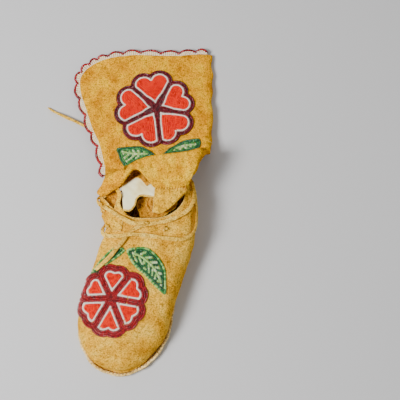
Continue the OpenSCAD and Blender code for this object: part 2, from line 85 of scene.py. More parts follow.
LACE = [[-41.5, -77, 43.8], [-35.5, -71.8, 45.2], [-28, -65, 46.8], [-20.5, -56, 47.8],
        [-14, -47.5, 47.4], [-9, -41, 47.2], [-2, -36, 47.8], [7, -32.5, 48.2], [16, -31, 48.2],
        [31, -28, 47.9], [41, -23.5, 47.2], [50, -17, 45.8], [54.6, -9, 43], [56, 0, 39.4], [54.8, 9.5, 35.8],
        [50.8, 19, 32.2], [42, 28, 30], [30.5, 34, 28.8], [17.5, 32.6, 28.6], [5, 25.4, 29.8],
        [-10.6, 10.6, 31.6], [-23, -7, 33.4], [-31.5, -24, 35.4], [-36, -35, 38.6],
        [-35, -41, 42.4], [-28, -43.6, 45.8], [-18, -43.8, 48.6], [-9, -42.4, 50.2],
        [0, -42.4, 48.8], [11, -43.2, 47.4], [31, -46, 45.8], [44, -46, 43.2], [53.6, -41, 40],
        [57.8, -32, 37.4], [58.6, -20, 34.6], [57.8, -7, 31.8], [56, 7, 28], [50, 21, 25],
        [38.8, 31.2, 23.2], [27, 35, 22.6], [13, 31.4, 23.4], [-0.5, 22, 25.6], [-13.5, 10, 28.6],
        [-26, 1, 34.6], [-36, -1.5, 39.5], [-42, -5, 42], [-40, -10, 43.6], [-34, -14, 45.8],
        [-26, -19.4, 47.8], [-17, -25, 49], [-9.5, -29.4, 49.8], [-3, -31.4, 50.2], [4, -31.4, 50.3],
        [11, -31, 49.8]]
CUFF_TIE = [[-50, 77, 13], [-56, 80, 9.6], [-64, 84, 6.6], [-75, 90, 5.2], [-84, 94, 5.4],
            [-92, 98, 4.6], [-99, 102, 2.6], [-106, 107, 1.4]]
INNER_TIE = [[-52, 108, 5.4], [-40, 102, 5.6], [-26, 96, 5.4], [-12, 92, 5.6], [2, 92, 5.4],
             [14, 96, 5.4]]
# A flower's centre, and its petals: direction and share of the flower's radius.
TOE_CENTRE = (-26.0, -104.5)
TOE_RADIUS = 30.0
TOE_PETALS = [(82, 0.88), (150, 0.84), (213, 1.0), (265, 1.06), (320, 1.0), (20, 1.0)]
CUFF_CENTRE = (14.8, 102.0)
CUFF_RADIUS = 40.0
CUFF_PETALS = [(101, 0.99), (174.5, 1.02), (244, 1.02), (309.5, 1.0), (26, 0.91)]
TOE_LEAF_RIGHT = [[-10.5, -57], [-1.5, -54.5], [9, -55], [16, -59.5], [22.5, -67], [27.5, -77], [28, -88],
                  [27, -100.5], [16, -91.5], [7.5, -82.5], [-3, -73], [-8.5, -65]]
TOE_LEAF_LEFT = [[-12.5, -56.5], [-18, -54.5], [-27, -57], [-37, -67], [-43, -74.5], [-48.5, -83],
                 [-53, -94], [-46, -88.5], [-38, -79.5], [-31, -72.5], [-21.5, -65.5], [-14.5, -60]]
CUFF_LEAF_LEFT = [[15.5, 44.5], [9.5, 51], [-0.5, 56.5], [-13, 57], [-26, 55], [-24.5, 48], [-21.5, 40],
                  [-14.5, 32.5], [-5, 38], [5, 42]]
CUFF_LEAF_RIGHT = [[23, 47], [32, 56], [42, 62.5], [52, 65.5], [62, 65], [61, 54.5], [48, 49.5], [35, 47]]

LEATHER = 1.6
CLOTH = 0.8
SOLE_THICKNESS = 3.4
SOLE_RIM = 7.8
SOLE_FLANGE = 2.4
CREST_Z = 56.0
TURN_SHARE = 0.25
CROWN = 0.6
WALL_SHARE = 0.32
WALL_TOP = SOLE_RIM + 1.4
CREST_LEAD = 3.2


# ---------------------------------------------------------------------------------------------
# Curves and surfaces
# ---------------------------------------------------------------------------------------------
def unit(v):
    return v / np.maximum(np.linalg.norm(v, axis=-1, keepdims=True), 1e-9)


def mix(a, b, t):
    return a + (b - a) * t


def smooth(t):
    c = np.clip(t, 0, 1)
    return c * c * (3 - 2 * c)


def cubic(a, b, c, d, t):
    return 0.5 * (2 * b + (c - a) * t + (2 * a - 5 * b + 4 * c - d) * t * t
                  + (3 * b - a - 3 * c + d) * t ** 3)


def loop_at(points, u):
    p = np.asarray(points, float)
    n = len(p)
    s = (np.asarray(u, float) % 1.0) * n
    i = np.floor(s).astype(int)
    return cubic(p[(i - 1) % n], p[i % n], p[(i + 1) % n], p[(i + 2) % n], (s - i)[..., None])


def path_at(points, u):
    p = np.asarray(points, float)
    n = len(p)
    full = np.vstack([2 * p[:1] - p[1:2], p, 2 * p[-1:] - p[-2:-1]])
    s = np.clip(np.asarray(u, float), 0, 1) * (n - 1)
    i = np.minimum(np.floor(s).astype(int), n - 2)
    return cubic(full[i], full[i + 1], full[i + 2], full[i + 3], (s - i)[..., None])


def outward(points, u):
    d = loop_at(points, u + 0.002) - loop_at(points, u - 0.002)
    return unit(np.stack([d[..., 1], -d[..., 0]], -1))


def wave(p, size, seed, count=9):
    """Smooth noise of about unit height from sine waves, with features about size mm apart."""
    rng = np.random.default_rng(seed)
    total = np.zeros(p.shape[:-1])
    for _ in range(count):
        direction = unit(rng.normal(size=p.shape[-1])) * 2 * math.pi / size * rng.uniform(0.6, 1.5)
        total += np.sin(p @ direction + rng.uniform(0, 2 * math.pi))
    return total / math.sqrt(count / 2)


def coons(low, high, left, right, a, b):
    """A patch between four edges, for a across and b up."""
    p, q, f, r = path_at(low, a), path_at(high, a), path_at(left, b), path_at(right, b)
    a, b = a[..., None], b[..., None]
    low, high = np.asarray(low, float), np.asarray(high, float)
    corners = ((1 - a) * (1 - b) * low[0] + a * (1 - b) * low[-1]
               + (1 - a) * b * high[0] + a * b * high[-1])
    return (1 - b) * p + b * q + (1 - a) * f + a * r - corners


def skin_at(u, v):
    """The upper's outer skin: u goes round the foot and v from the sole up to the rim."""
    u, v = np.broadcast_arrays(np.asarray(u, float), np.asarray(v, float))
    s, w, r = loop_at(SOLE, u), loop_at(WIDEST, u), loop_at(RIM, u)
    a = np.clip(v / TURN_SHARE, 0, 1)[..., None]
    b = np.maximum(0, a - WALL_SHARE) / (1 - WALL_SHARE) * math.pi / 2
    low_xy = mix(s, w[..., :2], np.sin(b))
    low_z = np.where(a < WALL_SHARE, mix(SOLE_THICKNESS + 0.1, WALL_TOP, a / WALL_SHARE),
                     mix(WALL_TOP, w[..., 2:], 1 - np.cos(b)))
    h = (np.clip((v - TURN_SHARE) / (1 - TURN_SHARE), 0, 1) ** 1.7)[..., None]
    rise = CROWN * (1 - (1 - h) ** 6) ** 0.6 + (1 - CROWN) * h
    high_xy = mix(w[..., :2], r[..., :2], h)
    high_z = mix(w[..., 2:], r[..., 2:], rise)
    is_low = (v < TURN_SHARE)[..., None]
    return np.where(is_low, np.concatenate([low_xy, low_z], -1),
                    np.concatenate([high_xy, high_z], -1))


def skin_normal(u, v):
    low, high = np.maximum(v - 0.02, 0), np.minimum(v + 0.02, 1)
    return unit(np.cross(skin_at(u + 0.004, v) - skin_at(u - 0.004, v),
                         skin_at(u, high) - skin_at(u, low)))


# The crest from above: a straight line up to its corner, and a cubic about CREST_X after it.
CREST_CORNER = (-13, 25)
CREST_SLOPE = 0.6
CREST_X = 20
CREST_CUBIC = (38, 0.1237, -0.00403, 0.000126)


def crest_y(x):
    e = x - CREST_X
    a, b, c, d = CREST_CUBIC
    straight = CREST_CORNER[1] + CREST_SLOPE * (x - CREST_CORNER[0])
    return np.where(x < CREST_CORNER[0], straight, a + b * e + c * e ** 2 + d * e ** 3)


def left_of(x):
    return np.maximum(0, -12 - x)


def shoulder(x):
    return 30 + (CREST_Z - 30) * np.exp(-(left_of(x) / 38) ** 2) \
        * np.exp(-(np.maximum(0, x - 58) / 15) ** 2)


def dip(t):
    return 2.2 * (1 - np.exp(-(np.minimum(0, t) / 15) ** 2))


def flap_surface(x, y):
    """Top of the flap: it falls from a crest that hangs over a little, then lies almost flat."""
    t = y - crest_y(x) + CREST_LEAD
    base = 7 + np.maximum(0, 170 - y) * 0.1
    width = 7.5 + 0.8 * left_of(x)
    drop = 0.84 * (1 - smooth(t / width)) + 0.16 * np.exp(-(np.maximum(0, t) / 17) ** 2)
    lift = (shoulder(x) - base)
    p = np.stack([x, y], -1)
    soft = 0.45 * wave(p, 46, 11) + 0.22 * wave(p, 15, 12) + 0.06 * wave(p, 5, 13)
    crumple = np.exp(-((t - 16) / 12) ** 2) * 0.5 * wave(p * [0.5, 1], 9, 14)
    pull = np.exp(-((t + 10) / 12) ** 2) * 0.45 * wave(p * [1, 0.45], 8, 15)
    z = base + lift * drop - dip(t) + soft + crumple + pull
    hang = 3.0 * np.exp(-((t - 2.4) / 3.7) ** 2) * (shoulder(x) - 30) / 26
    return np.stack([x, y + hang, z], -1)


def lining_surface(x, y):
    """Top of the lining: it leaves the ankle, passes over the heel's rim and drops behind it."""
    t = y - crest_y(x)
    high = shoulder(x) - 6
    fall = np.clip((t + 16) / 19.5, 0, 1)
    drop = 0.9 * np.sqrt(np.maximum(0, 1 - fall ** 2.6)) + 0.1 * np.exp(-(np.maximum(0, t + 16) / 22) ** 2)
    hollow = 15 * np.exp(-((x + 6) / 15) ** 2) * np.exp(-((t + 9) / 5.5) ** 2)
    p = np.stack([x, y], -1)
    folds = 0.25 * wave(p, 22, 21) + 0.08 * wave(p, 8, 22)
    z = 3.4 + (high - 3.4) * drop - dip(t) - hollow + folds * (0.3 + drop)
    return np.stack([x, y, z], -1)


def grid(columns, rows):
    return np.meshgrid(np.linspace(0, 1, columns), np.linspace(0, 1, rows))


# The drawing's place in the row frame, from the sole's own corner.
RINGS = np.arange(72) / 72
CORNER = (loop_at(SOLE, RINGS) + SOLE_FLANGE * outward(SOLE, RINGS)).min(axis=0)
SHIFT = np.array([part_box("sole")[0][0] * 1000 - CORNER[0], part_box("sole")[0][1] * 1000 - CORNER[1], 0.0])


def metres(points):
    return (np.asarray(points, float) + SHIFT) * 0.001


# ---------------------------------------------------------------------------------------------
# Camera and materials
# ---------------------------------------------------------------------------------------------
scene = bpy.context.scene
CAMERA = (60.9, -151.6, 743.4)
TARGET = (60.9, 6.4, 0.0)
camera = bpy.data.objects.new("camera", bpy.data.cameras.new("camera"))
scene.collection.objects.link(camera)
camera.data.sensor_width = 36
camera.data.lens = 63.6
camera.location = Vector(CAMERA) * 0.001
camera.rotation_euler = (Vector(TARGET) - Vector(CAMERA)).to_track_quat("-Z", "Y").to_euler()
scene.camera = camera


def nodes_of(name):
    material = bpy.data.materials.new(name)
    material.use_nodes = True
    tree = material.node_tree
    return material, tree, tree.nodes["Principled BSDF"]


def node(tree, kind, **values):
    made = tree.nodes.new(kind)
    for key, value in values.items():
        if key in made.inputs:
            made.inputs[key].default_value = value
        else:
            setattr(made, key, value)
    return made


def set_value(shader, name, value):
    if name in shader.inputs:
        shader.inputs[name].default_value = value


def noise(tree, coordinates, scale, detail=3.0, rough=0.55):
    made = tree.nodes.new("ShaderNodeTexNoise")
    made.inputs["Scale"].default_value = scale
    made.inputs["Detail"].default_value = detail
    made.inputs["Roughness"].default_value = rough
    tree.links.new(coordinates, made.inputs["Vector"])
    return made.outputs["Fac"]


def ramp(tree, factor, stops):
    made = tree.nodes.new("ShaderNodeValToRGB")
    while len(made.color_ramp.elements) < len(stops):
        made.color_ramp.elements.new(0.5)
    for element, (place, colour) in zip(made.color_ramp.elements, stops):
        element.position = place
        element.color = (*colour, 1)
    tree.links.new(factor, made.inputs["Fac"])
    return made.outputs["Color"]


def blend_colours(tree, factor, a, b, kind="MIX"):
    made = tree.nodes.new("ShaderNodeMix")
    made.data_type = "RGBA"
    made.blend_type = kind
    if isinstance(factor, float):
        made.inputs["Factor"].default_value = factor
    else:
        tree.links.new(factor, made.inputs["Factor"])
    tree.links.new(a, made.inputs["A"])
    tree.links.new(b, made.inputs["B"])
    return made.outputs["Result"]


def suede(name, dark, middle, pale, nap=900, strength=0.9, mottle=70, rough=0.95, grain=0.9):
    """Brain-tanned leather: cloudy smoke colour, fine fibres that catch the light, no gloss."""
    material, tree, shader = nodes_of(name)
    place = tree.nodes.new("ShaderNodeTexCoord").outputs["Object"]
    clouds = ramp(tree, noise(tree, place, mottle, 4), [(0.3, dark), (0.5, middle), (0.72, pale)])
    specks = ramp(tree, noise(tree, place, nap, 4, 0.7),
                  [(0.38, (0.42, 0.34, 0.2)), (0.49, (0.92, 0.9, 0.86)), (0.6, (1.3, 1.3, 1.3))])
    pores = ramp(tree, noise(tree, place, nap * 0.42, 2, 0.5),
                 [(0.32, (0.5, 0.4, 0.22)), (0.45, (1.0, 1.0, 1.0)), (0.7, (1.12, 1.12, 1.12))])
    colour = blend_colours(tree, grain, clouds, specks, "MULTIPLY")
    colour = blend_colours(tree, grain * 0.8, colour, pores, "MULTIPLY")
    # Painted highlight: where a mesh stores painted_crest_highlight above 0.5, its colour is multiplied
    # paler.
    painted_crest_highlight = tree.nodes.new("ShaderNodeAttribute")
    painted_crest_highlight.attribute_name = "painted_crest_highlight"
    paler = blend_colours(tree, 1.0, colour, ramp(tree, painted_crest_highlight.outputs["Fac"], [
        (0.0, (1.0, 1.0, 1.0)), (0.5, (1.0, 1.0, 1.0)), (1.0, (1.02, 1.14, 9.0))]), "MULTIPLY")
    tree.links.new(paler, shader.inputs["Base Color"])
    fibres = noise(tree, place, nap * 0.8, 6, 0.75)
    pits = noise(tree, place, nap * 0.22, 3, 0.6)
    total = tree.nodes.new("ShaderNodeMath")
    total.operation = "ADD"
    tree.links.new(fibres, total.inputs[0])
    tree.links.new(pits, total.inputs[1])
    bump = node(tree, "ShaderNodeBump", Strength=strength, Distance=0.001)
    tree.links.new(total.outputs[0], bump.inputs["Height"])
    tree.links.new(bump.outputs["Normal"], shader.inputs["Normal"])
    set_value(shader, "Roughness", rough)
    set_value(shader, "Specular IOR Level", 0.04)
    return material


def glass(name, colour, rough=0.16, coat=0.4, shine=0.5):
    material, _, shader = nodes_of(name)
    set_value(shader, "Base Color", (*colour, 1))
    set_value(shader, "Roughness", rough)
    set_value(shader, "Specular IOR Level", shine)
    set_value(shader, "Coat Weight", coat)
    set_value(shader, "Coat Roughness", 0.08)
    return material


CUFF_LEATHER = suede("cuff_leather", (0.62, 0.24, 0.0), (0.86, 0.40, 0.0), (0.97, 0.54, 0.003))
VAMP_LEATHER = suede("vamp_leather", (0.56, 0.25, 0.008), (0.82, 0.43, 0.025), (0.97, 0.62, 0.08))
TAB_LEATHER = suede("tab_leather", (0.60, 0.28, 0.008), (0.86, 0.47, 0.022), (0.97, 0.62, 0.07))
CUFF_EDGE = suede("cuff_cut_edge", (0.66, 0.36, 0.004), (0.88, 0.52, 0.008), (0.97, 0.64, 0.014))
EDGE_LEATHER = suede("cut_edge_leather", (0.76, 0.46, 0.09), (0.93, 0.64, 0.17), (0.98, 0.78, 0.30))
THONG_LEATHER = suede("thong_leather", (0.66, 0.36, 0.03), (0.88, 0.54, 0.07), (0.97, 0.68, 0.15),
                      mottle=120)
# Leather darkened with painted shade: it colours surfaces inside the shoe and in its hollows, and shadow
# lines along the strap edges, the tab's seam and its stitches.
PAINTED_SHADE_LEATHER = suede("painted_shade_leather", (0.42, 0.17, 0.008), (0.58, 0.26, 0.016), (0.70, 0.36, 0.04))
SOLE_LEATHER = suede("sole_leather", (0.70, 0.46, 0.14), (0.88, 0.65, 0.26), (0.96, 0.80, 0.44),
                     nap=600, strength=0.35, rough=0.8)
SINEW = suede("sinew", (0.46, 0.26, 0.06), (0.62, 0.38, 0.10), (0.76, 0.52, 0.18), mottle=300)


def cloth_material():
    material, tree, shader = nodes_of("lining_cloth")
    place = tree.nodes.new("ShaderNodeTexCoord").outputs["Object"]
    colour = ramp(tree, noise(tree, place, 45, 3),
                  [(0.32, (0.70, 0.52, 0.18)), (0.46, (0.95, 0.84, 0.44)), (0.6, (0.98, 0.93, 0.60))])
    tree.links.new(colour, shader.inputs["Base Color"])
    bump = node(tree, "ShaderNodeBump", Strength=0.25, Distance=0.0005)
    tree.links.new(noise(tree, place, 1500, 3), bump.inputs["Height"])
    tree.links.new(bump.outputs["Normal"], shader.inputs["Normal"])
    set_value(shader, "Roughness", 0.9)
    set_value(shader, "Sheen Weight", 0.3)
    return material


LINING_CLOTH = cloth_material()


def glasses(kind, colours, *look):
    """Three shades of one colour of bead."""
    return [glass(f"{kind}_bead_{letter}", colour, *look) for letter, colour in zip("abc", colours)]


WHITE_BEADS = glasses("white", [(1.0, 0.93, 0.80), (0.97, 0.80, 0.68), (1.0, 0.97, 0.88)], 0.3, 0.1)
ORANGE_BEADS = glasses("orange", [(0.86, 0.014, 0.0), (0.94, 0.030, 0.0), (0.68, 0.007, 0.0)],
                       0.4, 0.04, 0.2)
DARK_BEADS = glasses("burgundy", [(0.13, 0.003, 0.009), (0.20, 0.004, 0.012), (0.07, 0.002, 0.007)],
                     0.12, 0.5)
RED_BEADS = glasses("dark_red", [(0.30, 0.003, 0.006), (0.42, 0.006, 0.010), (0.16, 0.002, 0.004)],
                    0.12, 0.6)
GREEN_BEADS = [glass("dark_green_bead_a", (0.006, 0.075, 0.022), 0.12, 0.5),
               glass("dark_green_bead_b", (0.012, 0.13, 0.036), 0.12, 0.5),
               glass("mid_green_bead", (0.05, 0.27, 0.05)),
               glass("pale_green_bead", (0.36, 0.62, 0.17)),
               glass("white_green_bead", (0.66, 0.80, 0.42))]


# ---------------------------------------------------------------------------------------------
# Meshes
# ---------------------------------------------------------------------------------------------
def make(name, vertices, faces, materials, indices=None, tidy=True):
    """An object from points in millimetres. tidy turns every face of a closed piece outwards."""
    mesh = bpy.data.meshes.new(name)
    mesh.from_pydata(metres(vertices).tolist(), [], [list(map(int, f)) for f in faces])
    for material in materials:
        mesh.materials.append(material)
    if indices is not None:
        mesh.polygons.foreach_set("material_index", np.asarray(indices, dtype=np.int32))
    if tidy:
        work = bmesh.new()
        work.from_mesh(mesh)
        bmesh.ops.recalc_face_normals(work, faces=work.faces)
        work.to_mesh(mesh)
        work.free()
    mesh.polygons.foreach_set("use_smooth", np.ones(len(mesh.polygons), dtype=bool))
    mesh.update()
    made = bpy.data.objects.new(name, mesh)
    scene.collection.objects.link(made)
    return made


def grid_normals(top):
    across = np.gradient(top, axis=1)
    up = np.gradient(top, axis=0)
    return unit(np.cross(across, up))


def grid_faces(rows, columns, start=0):
    i, j = np.meshgrid(np.arange(rows - 1), np.arange(columns - 1), indexing="ij")
    a = start + i * columns + j
    return np.stack([a, a + 1, a + columns + 1, a + columns], -1).reshape(-1, 4)


def border_of(rows, columns):
    lines = [np.arange(columns), np.arange(1, rows) * columns + columns - 1,
             (rows - 1) * columns + np.arange(columns - 2, -1, -1), np.arange(rows - 2, 0, -1) * columns]
    return np.concatenate(lines)


def border_inside(rows, columns):
    """For each border point, its neighbour inside the grid."""
    index = border_of(rows, columns)
    i, j = index // columns, index % columns
    return np.clip(i, 1, rows - 2) * columns + np.clip(j, 1, columns - 2)


def thick_sheet(name, top, thickness, materials, bulge=0.35):
    """A closed sheet under a grid of points, with a rounded cut edge in the second material."""
    rows, columns = top.shape[:2]
    normals = grid_normals(top)
    flat = top.reshape(-1, 3)
    bottom = flat - normals.reshape(-1, 3) * thickness
    border = border_of(rows, columns)
    out = unit(flat[border] - flat[border_inside(rows, columns)])
    middle = (flat[border] + bottom[border]) / 2 + out * thickness * bulge
    count, n = len(flat), len(border)
    vertices = np.vstack([flat, bottom, middle])
    around = np.arange(n)
    after = (around + 1) % n
    faces = [grid_faces(rows, columns), grid_faces(rows, columns, count)[:, ::-1],
             np.stack([border[around], border[after], 2 * count + after, 2 * count + around], -1)[:, ::-1],
             np.stack([2 * count + around, 2 * count + after, count + border[after],
                       count + border[around]], -1)[:, ::-1]]
    sizes = [len(f) for f in faces]
    indices = np.concatenate([np.full(sizes[0] + sizes[1], 0), np.full(sizes[2] + sizes[3], 1)])
    return make(name, vertices, np.vstack(faces), materials, indices, tidy=False)


def closed_band(name, rings, materials, indices_of_rows=None):
    """A ring-shaped solid from closed rings: the last one joins the first."""
    rings = np.asarray(rings)
    rows, n = rings.shape[:2]
    i, k = np.meshgrid(np.arange(rows), np.arange(n), indexing="ij")
    nxt, right = (i + 1) % rows, (k + 1) % n
    faces = np.stack([i * n + k, i * n + right, nxt * n + right, nxt * n + k], -1).reshape(-1, 4)
    indices = None
    if indices_of_rows is not None:
        indices = np.repeat(np.asarray(indices_of_rows), n)
    return make(name, rings.reshape(-1, 3), faces, materials, indices)


def sweep(name, centres, ups, width, thickness, materials, seed=1, taper=0.0):
    """A flat leather thong along a line of points, with slightly uneven cut edges."""
    rng = np.random.default_rng(seed)
    ahead = unit(np.gradient(centres, axis=0))
    right = unit(np.cross(ahead, ups))
    up = np.cross(right, ahead)
    n = len(centres)
    s = np.linspace(0, 1, n)
    uneven = np.convolve(rng.normal(size=n + 8), np.ones(9) / 9, "valid")[:n]
    half = width / 2 * (1 + 0.18 * uneven) * (1 - taper * s ** 3)
    half = half * np.sqrt(np.clip((n - np.arange(n)) / 7.0, 0.2, 1))
    rise = thickness / 2
    profile = [(-1, 0), (-0.93, 0.75), (-0.6, 1), (0, 1.08), (0.6, 1), (0.93, 0.75), (1, 0),
               (0.93, -0.75), (0.6, -1), (0, -0.95), (-0.6, -1), (-0.93, -0.75)]
    rings = np.stack([centres + right * (a * half)[:, None] + up * (b * rise) for a, b in profile], 1)
    sides = len(profile)
    edge = np.isin(np.arange(sides), (0, 5, 6, 11)).astype(int)
    indices = np.tile(edge, n - 1).tolist() + [1, 1]
    return make(name, rings.reshape(-1, 3), tube_faces(n, sides), materials, indices)


def run_so_far(points):
    """How far along its line each point is."""
    return np.concatenate([[0], np.cumsum(np.linalg.norm(np.diff(points, axis=0), axis=1))])


def place_on(line, length, s):
    """The point, or points, at a distance s along a line whose running length is given."""
    return np.stack([np.interp(s, length, line[:, k]) for k in range(line.shape[1])], -1)


def tube_faces(n, sides):
    """The faces of a closed tube of n rings: its wall, then its two ends."""
    i, k = np.meshgrid(np.arange(n - 1), np.arange(sides), indexing="ij")
    wall = np.stack([i * sides + k, i * sides + (k + 1) % sides, (i + 1) * sides + (k + 1) % sides,
                     (i + 1) * sides + k], -1).reshape(-1, 4).tolist()
    return wall + [list(range(sides))[::-1], [(n - 1) * sides + k for k in range(sides)]]


def along(route, spacing=0.9):
    """Points at an even spacing along a smooth route."""
    fine = path_at(route, np.linspace(0, 1, 60 * len(route)))
    length = run_so_far(fine)
    return place_on(fine, length, np.linspace(0, length[-1], max(4, int(length[-1] / spacing))))


def length_of(points):
    return float(np.linalg.norm(np.diff(points, axis=0), axis=1).sum())


def own(piece, body, slot, *nodes):
    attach(piece, body)
    if nodes:
        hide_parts(*nodes)
    return piece


# Sole ------------------------------------------------------------------------------------------
AROUND = 420
LOOP = np.arange(AROUND) / AROUND


def sole_ring(out, z, rough=0.0):
    edge = loop_at(SOLE, LOOP)
    p = np.concatenate([edge, np.zeros((AROUND, 1))], -1)
    toe = smooth((-112 - edge[:, 1]) / 34)
    out = out + rough * (0.22 * wave(p, 14, 31) + 0.1 * wave(p, 5, 32) + 1.5 * toe * (np.max(out) > 1.4))
    z = z + rough * (0.25 * wave(p, 18, 33) + 0.12 * wave(p, 6, 34))
    return np.concatenate([edge + outward(SOLE, LOOP) * np.reshape(out, (-1, 1)),
                           np.broadcast_to(np.reshape(z, (-1, 1)), (AROUND, 1))], -1)


def build_sole():
    middle = np.array([-9.0, -76.0])
    profile = [(0.9, SOLE_THICKNESS, 0), (0.9, 5.2, 0.4), (0.95, 6.6, 0.8), (1.15, 7.5, 1), (1.6, 7.95, 1),
               (2.15, 7.7, 1), (2.5, 6.9, 1), (2.65, 5.5, 1), (2.6, 3.6, 1), (2.55, 2.0, 0.8),
               (2.2, 0.7, 0.5), (1.5, 0.12, 0.2), (0.6, 0, 0)]
    rings = [sole_ring(o, z, r) for o, z, r in profile]
    inner = np.linspace(0.06, 0.96, 9)
    floor = sole_ring(0.9, 0)[:, :2]
    lower = sole_ring(0.6, 0)[:, :2]

    def dents(xy):
        return 0.18 * wave(xy, 26, 35)

    bottom, top = [], []
    for k in inner:
        xy = mix(lower, middle, k)
        bottom.append(np.column_stack([xy, np.clip(0.22 + dents(xy), 0, 0.6) * min(1, 6 * k)]))
        xy = mix(floor, middle, k)
        top.append(np.column_stack([xy, SOLE_THICKNESS + 0.25 * dents(xy)]))
    rings = rings + bottom
    points = np.vstack(rings + top)
    n = AROUND
    faces = []
    for i in range(len(rings) - 1):
        k = np.arange(n)
        faces.append(np.stack([i * n + k, i * n + (k + 1) % n, (i + 1) * n + (k + 1) % n,
                               (i + 1) * n + k], -1))
    first_top = len(rings)
    chain = [0] + list(range(first_top, first_top + len(top)))
    for a, b in zip(chain[:-1], chain[1:]):
        k = np.arange(n)
        faces.append(np.stack([b * n + k, b * n + (k + 1) % n, a * n + (k + 1) % n, a * n + k], -1))
    faces = np.vstack(faces).tolist()
    last_bottom = len(rings) - 1
    faces.append([last_bottom * n + k for k in range(n)])
    faces.append([chain[-1] * n + k for k in range(n)][::-1])
    own(make("sole_body", points, faces, [SOLE_LEATHER]), "foot", "rawhide", "sole")


# Upper -----------------------------------------------------------------------------------------
def upper_lift(p, v):
    """How far the skin stands off its smooth shape: soft dents, seam gathers and ankle wrinkles."""
    u_gather = 0.5 * (1 - smooth(v / 0.15)) * np.sin(2 * math.pi * 104 * LOOP)[None, :]
    front = smooth((-60 - p[..., 1]) / 50)
    dents = 0.4 * wave(p, 48, 41) + 0.16 * wave(p, 17, 42) + 0.06 * wave(p, 6, 43)
    ankle = smooth((p[..., 1] + 78) / 40) * smooth(v / 0.2) * (1 - smooth((v - 0.8) / 0.2))
    folds = np.sin(p[..., 2] * 0.42 + p[..., 1] * 0.13 + 1.4 * wave(p, 36, 44))
    return dents + u_gather * (0.35 + 0.65 * front) + 0.75 * ankle * folds


def build_upper():
    rows = 118
    v = np.linspace(0, 1, rows)[:, None]
    u = LOOP[None, :]
    base = skin_at(u, v)
    normal = skin_normal(u + 0 * v, v + 0 * u)
    outer = base + normal * (upper_lift(base, v) - 0.25)[..., None]
    inner = outer - normal * LEATHER
    over = unit(outer[-1] - outer[-3])
    rim = []
    for angle in (45, 90, 135):
        c, s = math.cos(math.radians(angle)), math.sin(math.radians(angle))
        rim.append(outer[-1] + normal[-1] * (LEATHER / 2) * (c - 1) + over * s * LEATHER * 0.5)
    rings = list(outer) + rim + list(inner[::-2])
    kinds = [0] * (rows - 1) + [1] * 4 + [2] * (len(rings) - rows - 3)
    # The inner face takes the painted-shade leather: the shade inside the shoe painted into its colour.
    piece = closed_band("upper_leather", rings, [VAMP_LEATHER, EDGE_LEATHER, PAINTED_SHADE_LEATHER], kinds)
    own(piece, "foot", "buckskin", "upper")
    faces = grid_faces(rows, AROUND)
    tree = BVHTree.FromPolygons(outer.reshape(-1, 3).tolist(), faces.tolist())
    return tree


build_sole()
SKIN = build_upper()


def nearest_up(points):
    found = []
    for p in points:
        _, normal, _, _ = SKIN.find_nearest(Vector(p))
        found.append(list(normal))
    return np.array(found)


def flatten_ups(ups, size=9):
    """The same directions, turned smoothly along the line."""
    padded = np.vstack([ups[:1]] * size + [ups] + [ups[-1:]] * size)
    kernel = np.ones(2 * size + 1) / (2 * size + 1)
    return unit(np.stack([np.convolve(padded[:, k], kernel, "valid") for k in range(3)], -1))


# Thongs ----------------------------------------------------------------------------------------
def build_thongs():
    lace = along(LACE)
    ups = nearest_up(lace)
    ups = np.where((ups @ [0, 0, 1] < 0)[:, None], -ups, ups)
    ups = flatten_ups(ups)
    turn = 0.5 * np.sin(np.linspace(0, 26, len(lace)))
    side = unit(np.cross(np.gradient(lace, axis=0), ups))
    ups = unit(ups + side * turn[:, None] * 0.6)
    # The thong's cut edges take the painted-shade leather: a painted shadow line along both sides of the
    # strap.
    piece = sweep("ankle_thong", lace, ups, 4.2, 1.5, [THONG_LEATHER, PAINTED_SHADE_LEATHER], 3)
    own(piece, "foot", "thong_leather", "ankle_lace")
    for name, route, body, cad, seed in (("cuff_thong", CUFF_TIE, "flap", "cuff_tie", 5),
                                         ("inner_thong", INNER_TIE, "cuff", "inner_tie", 6)):
        line = along(route, 0.7)
        up = np.tile([0.0, 0.0, 1.0], (len(line), 1))
        tilt = np.cumsum(np.random.default_rng(seed).normal(size=len(line))) * 0.02
        up = unit(up + np.outer(np.sin(tilt + np.linspace(0, 5, len(line))) * 0.5, [0.4, -0.8, 0]))
        piece = sweep(name, line, up, 3.2, 1.4, [THONG_LEATHER, EDGE_LEATHER], seed, 0.35)
        own(piece, body, "thong_leather", cad)


build_thongs()


# Cuff ------------------------------------------------------------------------------------------
def build_flap():
    a, b = grid(190, 236)
    xy = coons(FLAP_LOW, FLAP_TOP, FLAP_LEFT, FLAP_RIGHT, a, b)
    top = flap_surface(xy[..., 0], xy[..., 1])
    from_right = (1 - a) * 85
    curl = np.clip(1 - from_right / 5, 0, 1) ** 2
    beside_fold = smooth((xy[..., 1] - 8) / 8)
    top[..., 2] -= curl * mix(5, 0.0, beside_fold)
    low_curl = np.clip(1 - b * 170 / 5, 0, 1) ** 2 * (1 - smooth((xy[..., 0] - 12) / 6))
    top[..., 2] -= low_curl * 2.2
    piece = thick_sheet("cuff_flap_leather", top, LEATHER, [CUFF_LEATHER, CUFF_EDGE])
    t = xy[..., 1] - crest_y(xy[..., 0])
    # Painted highlight: the band just before the crest is made paler so the fold reads as a lit edge; the
    # wave makes it uneven.
    band = (1 - smooth((t + 1.5) / 4)) * smooth((xy[..., 0] + 20) / 14)
    paint_crest_highlight(piece, 0.5 + 0.5 * np.clip(band * (0.75 + 0.25 * wave(xy, 12, 17)), 0, 1))
    own(piece, "flap", "buckskin", "cuff_flap")


def paint_crest_highlight(piece, amount):
    """Stores a painted highlight that makes the leather paler; below 0.5 it keeps its plain colour."""
    values = np.full(len(piece.data.vertices), 0.0)
    flat = amount.reshape(-1)
    values[:len(flat)] = flat
    values[len(flat):2 * len(flat)] = flat
    stored = piece.data.attributes.new("painted_crest_highlight", "FLOAT", "POINT")
    stored.data.foreach_set("value", values.astype(np.float32))


